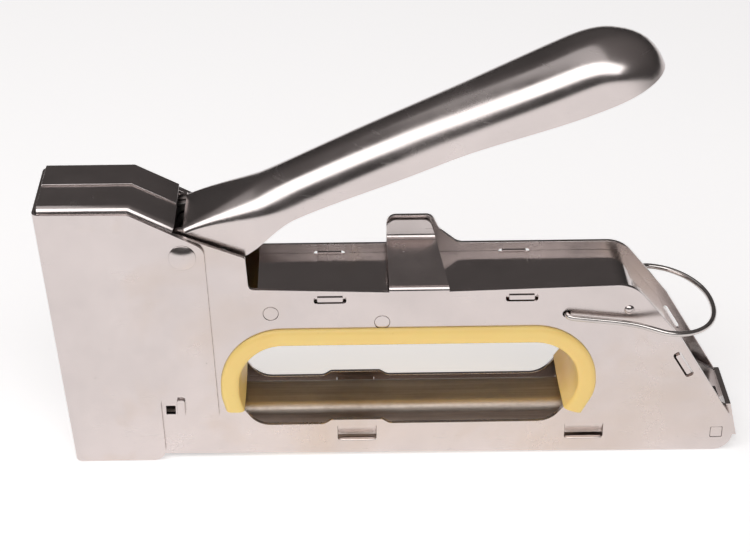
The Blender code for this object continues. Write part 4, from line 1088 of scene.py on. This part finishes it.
class STAPLE_GUN_OT_handle(bpy.types.Operator):
    """Build the squeeze handle: a drawn channel with a domed back and a closed round tip"""
    bl_idname = "staple_gun.handle"
    bl_label = "Squeeze Handle"

    def execute(self, context):
        mat = finish("handle_nickel")
        bm = bmesh.new()
        rings = [[along_handle(s, t, y) for y, t in handle_section(s, 14)] for s in handle_stations()]
        rows = add_loft(bm, rings, closed=False, caps=False)
        bm.faces.new(rows[-1])
        for side in (-1, 1):
            add_lobe(bm, rows[0], side)
        turn_out(bm, highest, (0, 0, 1))
        handle = new_piece("handle_channel", bm, mat)
        thicken(handle, HANDLE_SHEET)
        holes = [circle(*PIVOT, PIN_RADIUS + GAP), circle(*LEVER_PIN, LEVER_PIN_RADIUS + GAP)]
        combine(handle, slab_tool("handle_holes", holes, -HALF, HALF, mat), "DIFFERENCE")
        placed(shade(handle, 40), "squeeze_handle", "plated_steel", "handle")
        return {"FINISHED"}


# ---- Rivets and tenons
def rivet_profile(radius, reach, crown, edge=0.15):
    """Half of a flush rivet end: a faint dome with a rounded rim, as (radius, y) steps."""
    dome = [(radius - edge * (1 - math.cos(t)), reach - edge * (1 - math.sin(t)))
            for t in (0.0, 0.4, 0.8, 1.2)]
    flat = radius - edge
    rise = [(flat * share, reach + crown * (1 - share * share))
            for share in (0.9, 0.78, 0.64, 0.5, 0.35, 0.2, 0.05)]
    return dome + rise


def both_ends(half):
    """Whole profile of a pin from the steps of its right half."""
    return [(radius, -y) for radius, y in reversed(half)] + half


class STAPLE_GUN_OT_rivets(bpy.types.Operator):
    """Build the pivot rivet, the two spacer rivets and the rear tenons"""
    bl_idname = "staple_gun.rivets"
    bl_label = "Rivets"

    def execute(self, context):
        mat = finish("plate_nickel")
        head_radius = (high("handle_pin").x - low("handle_pin").x) / 2
        head = rivet_profile(head_radius, high("handle_pin").y - RIVET_CROWN, RIVET_CROWN)
        half = [(PIN_RADIUS, COVER_HALF + HAIRLINE), (head_radius, COVER_HALF + HAIRLINE), *head]
        pressed(turned("pivot_rivet", PIVOT, both_ends(half), mat), "handle_pin")
        for node in ("front_spacer_pin", "rear_spacer_pin"):
            radius = SPACER_END + GAP - HAIRLINE
            end = rivet_profile(radius, HALF - END_SET, END_SET)
            half = [(SPACER_RADIUS, INNER - GAP), (radius, INNER - GAP), *end]
            pressed(turned(node + "_rivet", middle(node), both_ends(half), mat), node)
        for node, side in (("left_rear_tenon", -1), ("right_rear_tenon", 1)):
            grow = GAP - HAIRLINE
            outline = soft_box(low(node).x - grow, high(node).x + grow, low(node).z - grow,
                               high(node).z + grow, 0.3)
            near, far = sorted((side * (INNER - 1.0), side * (HALF - END_SET)))
            tenon = slab_tool(node + "_end", [outline], near, far, mat)
            round_edges(tenon, shape().edge_round)
            pressed(tenon, node)
        return {"FINISHED"}


# ---- Lock wire and springs
def swept_wire(name, points, wire, mat, order=2):
    """A closed round wire along points in millimetres; a higher order rounds its corners."""
    curve = bpy.data.curves.new(name, "CURVE")
    curve.dimensions = "3D"
    curve.bevel_depth = wire / 2 * MM
    curve.bevel_resolution = 4
    curve.use_fill_caps = True
    curve.resolution_u = 6 if order > 2 else 1
    spline = curve.splines.new("NURBS")
    spline.points.add(len(points) - 1)
    for point, target in zip(points, spline.points):
        target.co = (Vector(point) * MM).to_4d()
    spline.order_u = order
    spline.use_endpoint_u = True
    guide = bpy.data.objects.new(name + "_line", curve)
    bpy.context.scene.collection.objects.link(guide)
    graph = bpy.context.evaluated_depsgraph_get()
    mesh = bpy.data.meshes.new_from_object(guide.evaluated_get(graph), depsgraph=graph)
    bpy.data.objects.remove(guide, do_unlink=True)
    bm = bmesh.new()
    bm.from_mesh(mesh)
    bmesh.ops.remove_doubles(bm, verts=bm.verts, dist=WELD)
    bmesh.ops.recalc_face_normals(bm, faces=bm.faces)
    return shade(new_piece(name, bm, mat), 60)


def coil(start, end, radius, rounds):
    """Points of a compression spring from start to end, with closely wound ends."""
    axis = end - start
    side = axis.orthogonal().normalized()
    other = axis.normalized().cross(side)
    points = []
    count = rounds * COIL_STEPS
    edge = CLOSED_SHARE * CLOSED_PITCH
    for step in range(count + 1):
        share = step / count
        if share < CLOSED_SHARE:
            along = share * CLOSED_PITCH
        elif share > 1 - CLOSED_SHARE:
            along = 1 - (1 - share) * CLOSED_PITCH
        else:
            along = edge + (share - CLOSED_SHARE) / (1 - 2 * CLOSED_SHARE) * (1 - 2 * edge)
        turn = 2 * math.pi * step / COIL_STEPS
        points.append(start + axis * along
                      + (side * math.cos(turn) + other * math.sin(turn)) * radius)
    return points


def spring(name, node, body, joint, wire, rounds, start, end):
    """Wind a spring as wide as its frame node and move it with a body; the joint is not used."""
    box_low, box_high = span(node)
    radius = (box_high.y - box_low.y - wire) / 2
    obj = swept_wire(name, coil(start, end, radius, rounds), wire, finish("spring_wire"))
    placed(obj, body, "spring_steel", node)
    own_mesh(obj)


class STAPLE_GUN_OT_springs(bpy.types.Operator):
    """Build the two coil springs"""
    bl_idname = "staple_gun.springs"
    bl_label = "Springs"

    def execute(self, context):
        box_low, box_high = span("main_spring")
        inset = SPRING_WIRE / 2 + (box_high.y - box_low.y - SPRING_WIRE) / 2 * NOSE_LEAN
        bottom, top = box_low.z + inset, box_high.z - inset
        ends = [Vector(((box_low.x + box_high.x) / 2 + lean(z) - lean((bottom + top) / 2), 0.0, z))
                for z in (bottom, top)]
        spring("driving_spring", "main_spring", "housing", "driver_lift",
               SPRING_WIRE, SPRING_TURNS, *ends)

        box_low, box_high = span("pusher_spring")
        mid_z = (box_low.z + box_high.z) / 2
        ends = [Vector((x, 0.0, mid_z)) for x in (box_low.x + PUSHER_WIRE / 2,
                                                  box_high.x - PUSHER_WIRE / 2)]
        spring("feed_spring", "pusher_spring", "magazine", "pusher_slide",
               PUSHER_WIRE, PUSHER_TURNS, *ends)
        return {"FINISHED"}


class STAPLE_GUN_OT_lock_wire(bpy.types.Operator):
    """Build the wire ring that holds the closed handle"""
    bl_idname = "staple_gun.lock_wire"
    bl_label = "Lock Wire"

    def execute(self, context):
        y = BAIL_LEG_Y
        leg = [(0.0, INNER - BAIL_WIRE), (0.0, HALF + GAP), (0.35, y - 0.45), (1.4, y), (6.0, y),
               (12.0, y), (16.5, y + 0.07 * BAIL_FLARE), (20.0, y + 0.3 * BAIL_FLARE)]
        centre = BAIL_REACH - BAIL_RING
        ring = []
        steps = 14
        for step in range(steps):
            turn = BAIL_ARC * (1 - step / steps)
            ring.append((centre + BAIL_RING * math.cos(turn),
                         (y + BAIL_FLARE) * math.sin(turn) ** 0.92))
        half = [*leg, *ring, (BAIL_REACH, 0.0)]
        flat = half + [(r, -across) for r, across in reversed(half[:-1])]
        cos, sin = math.cos(BAIL_DROP), math.sin(BAIL_DROP)
        inside = 1 - 2 * TINY / high("bail_ring").y
        points = [(BAIL_PIVOT[0] + r * cos, -across * inside, BAIL_PIVOT[1] + r * sin)
                  for r, across in flat]
        obj = swept_wire("lock_wire_ring", points, BAIL_WIRE, finish("spring_wire"), 3)
        placed(obj, "lock_wire", "spring_steel", "bail_ring")
        return {"FINISHED"}


# ---- Magazine
def channel(name, node, thickness, radius, mat):
    """Inverted U of thin sheet along X, to a frame node's box."""
    box_low, box_high = span(node)
    half = box_high.y
    section = [(-half, box_low.z), (-half, box_high.z), (half, box_high.z), (half, box_low.z)]
    bm = bmesh.new()
    for (y0, z0), (y1, z1) in zip(section, section[1:]):
        add_panel(bm, [(box_low.x, y0, z0), (box_low.x, y1, z1),
                       (box_high.x, y1, z1), (box_high.x, y0, z0)])
    bmesh.ops.remove_doubles(bm, verts=bm.verts, dist=WELD)
    turn_out(bm, highest, (0, 0, 1))
    bend_edges(bm, [lambda co: abs(co.z - box_high.z) < TINY], radius)
    obj = new_piece(name, bm, mat)
    thicken(obj, thickness)
    return obj


class STAPLE_GUN_OT_magazine(bpy.types.Operator):
    """Build the magazine channel and the strip of single staples in it"""
    bl_idname = "staple_gun.magazine"
    bl_label = "Magazine"

    def execute(self, context):
        outer = channel("magazine_cover", "magazine_channel", THIN_SHEET, 2.8, finish("magazine_steel"))
        round_edges(outer, shape().edge_round)
        pressed(outer, "magazine_channel")

        box_low, box_high = span("staples")
        half = box_high.y
        pitch = (box_high.x - box_low.x) / shape().staple_count
        wire = STAPLE_WIRE / 2 - 0.02
        line = rounded([(-half + wire, box_low.z, 0), (-half + wire, box_high.z - wire, 0.5),
                        (half - wire, box_high.z - wire, 0.5), (half - wire, box_low.z, 0)], 3)
        bm = bmesh.new()
        for count in range(shape().staple_count):
            middle_x = box_low.x + pitch * (count + 0.5)
            rings = []
            for i, (y, z) in enumerate(line):
                before = Vector(line[max(i - 1, 0)])
                after = Vector(line[min(i + 1, len(line) - 1)])
                run = (after - before).normalized()
                across = Vector((-run.y, run.x)) * wire
                rings.append([(middle_x + pitch * 0.49 * math.cos(t), y + across.x * math.sin(t),
                               z + across.y * math.sin(t))
                              for t in turns(8)])
            add_loft(bm, rings)
        staples = shade(new_piece("staple_strip", bm, finish("spring_wire")), 60)
        placed(staples, "magazine", "staple_wire", "staples")
        return {"FINISHED"}


# ---- Solid steel pieces
MACHINED = (
    ("staple_guide", "hardened_steel"), ("nose_block", "hardened_steel"),
    ("lower_nose_pin", "hardened_steel"), ("upper_nose_pin", "hardened_steel"),
    ("bumper", "black_rubber"), ("spring_seat", "hardened_steel"), ("latch_keeper", "hardened_steel"),
    ("lift_lever", "hardened_steel"), ("lever_pin", "hardened_steel"), ("hammer", "hardened_steel"),
    ("driver_blade", "hardened_steel"), ("staple_rail", "hardened_steel"),
    ("pusher", "hardened_steel"), ("rail_end", "hardened_steel"), ("pusher_rod", "spring_wire"),
    ("rear_latch", "plate_nickel"), ("latch_pin", "plate_nickel"),
)


class STAPLE_GUN_OT_machined(bpy.types.Operator):
    """Give the inner steel pieces, the bumper and the latch their bevelled edges and finish"""
    bl_idname = "staple_gun.machined"
    bl_label = "Machined Pieces"

    def execute(self, context):
        slots = {part["node"]: part["material_slot"] for part in frame["record"]["subparts"]}
        bodies = frame["record"]["behaviour"]["bodies"]
        for node, finish_name in MACHINED:
            body = next(name for name, nodes in bodies.items() if node in nodes)
            mesh = frame["nodes"][node].data.copy()
            obj = linked(node + "_finished", mesh, finish(finish_name))
            round_edges(obj, shape().soft_edge, 2, 35.0)
            placed(obj, body, slots[node], node)
        return {"FINISHED"}


# ---- Stage
FLOOR_HALF = 12.0  # metres, as all sizes of the stage
FLOOR_DROP = 0.0003
SKY = ((0.0, 0.10), (0.5, 0.025), (0.72, 0.08), (1.0, 0.16))  # brightness from below to above
SKY_TINT = (1.0, 0.93, 0.92)
AIM = (0.08, 0.0, 0.05)
SOFTBOXES = (  # name, place, width and height, power
    ("front_top_softbox", (-0.15, -0.64, 0.95), (1.9, 0.72), 9.0),
    ("overhead_softbox", (-0.15, -0.05, 1.15), (1.9, 0.5), 1.4),
)
CAMERA_PLACE = (0.0667, -0.4485, 0.3015)
CAMERA_LENS = 93.7  # millimetres, on a sensor 36 wide
CAMERA_DOWN = math.radians(29.45)
CAMERA_TURN = math.radians(-1.54)


def area_light(name, place, size, power):
    """A rectangular softbox that is turned to the tool."""
    light = bpy.data.lights.new(name, "AREA")
    light.shape = "RECTANGLE"
    light.size, light.size_y = size
    light.energy = power
    obj = bpy.data.objects.new(name, light)
    obj.location = place
    obj.rotation_euler = (Vector(AIM) - Vector(place)).to_track_quat("-Z", "Y").to_euler()
    bpy.context.scene.collection.objects.link(obj)


class STAPLE_GUN_OT_stage(bpy.types.Operator):
    """Lay the pale floor and set up the soft studio light and the camera"""
    bl_idname = "staple_gun.stage"
    bl_label = "Stage"

    def execute(self, context):
        bm = bmesh.new()
        bmesh.ops.create_grid(bm, x_segments=8, y_segments=8, size=FLOOR_HALF)
        floor = new_piece("stage_floor", bm, finish("pale_floor"))
        floor.location.z = CAD_LOW.z - FLOOR_DROP

        world = bpy.data.worlds.new("studio")
        context.scene.world = world
        nodes = Nodes(world, "Background", "Generated")
        parts = nodes.add("ShaderNodeSeparateXYZ")
        nodes.join(nodes.place, parts.inputs["Vector"])
        height = nodes.math("MULTIPLY_ADD", parts.outputs["Z"], 0.5, 0.5)
        nodes.set("Color", nodes.ramp(height, *((at, scaled(SKY_TINT, grey)) for at, grey in SKY)))
        nodes.set("Strength", 1.0)
        for softbox in SOFTBOXES:
            area_light(*softbox)

        camera = bpy.data.cameras.new("camera")
        camera.sensor_width = 36.0
        camera.lens = CAMERA_LENS
        obj = bpy.data.objects.new("camera", camera)
        obj.location = CAMERA_PLACE
        obj.rotation_euler = (math.pi / 2 - CAMERA_DOWN, 0.0, CAMERA_TURN)
        context.scene.collection.objects.link(obj)
        context.scene.camera = obj
        context.scene.view_settings.view_transform = "Standard"
        return {"FINISHED"}


# ---- Panel and registration
OPERATORS = (
    STAPLE_GUN_OT_side_plates,
    STAPLE_GUN_OT_nose_cover,
    STAPLE_GUN_OT_grip_strip,
    STAPLE_GUN_OT_grip_liner,
    STAPLE_GUN_OT_handle,
    STAPLE_GUN_OT_rivets,
    STAPLE_GUN_OT_lock_wire,
    STAPLE_GUN_OT_springs,
    STAPLE_GUN_OT_magazine,
    STAPLE_GUN_OT_machined,
    STAPLE_GUN_OT_stage,
)


class STAPLE_GUN_PT_build(bpy.types.Panel):
    """Lists the steps that build the staple gun and its settings"""
    bl_idname = "STAPLE_GUN_PT_build"
    bl_label = "Staple Gun"
    bl_space_type = "VIEW_3D"
    bl_region_type = "UI"
    bl_category = "Staple Gun"

    def draw(self, context):
        layout = self.layout
        for settings in (context.scene.staple_gun_shape, context.scene.staple_gun_finish):
            column = layout.column(align=True)
            for name in settings.bl_rna.properties.keys():
                if name not in {"rna_type", "name"}:
                    column.prop(settings, name)
        column = layout.column(align=True)
        for operator in OPERATORS:
            column.operator(operator.bl_idname)


CLASSES = (StapleGunShape, StapleGunFinish, *OPERATORS, STAPLE_GUN_PT_build)


def register():
    for cls in CLASSES:
        bpy.utils.register_class(cls)
    bpy.types.Scene.staple_gun_shape = PointerProperty(type=StapleGunShape)
    bpy.types.Scene.staple_gun_finish = PointerProperty(type=StapleGunFinish)


def unregister():
    del bpy.types.Scene.staple_gun_finish
    del bpy.types.Scene.staple_gun_shape
    for cls in reversed(CLASSES):
        bpy.utils.unregister_class(cls)


def main():
    register()
    for operator in OPERATORS:
        group, name = operator.bl_idname.split(".")
        getattr(getattr(bpy.ops, group), name)()


if __name__ == "__main__":
    main()
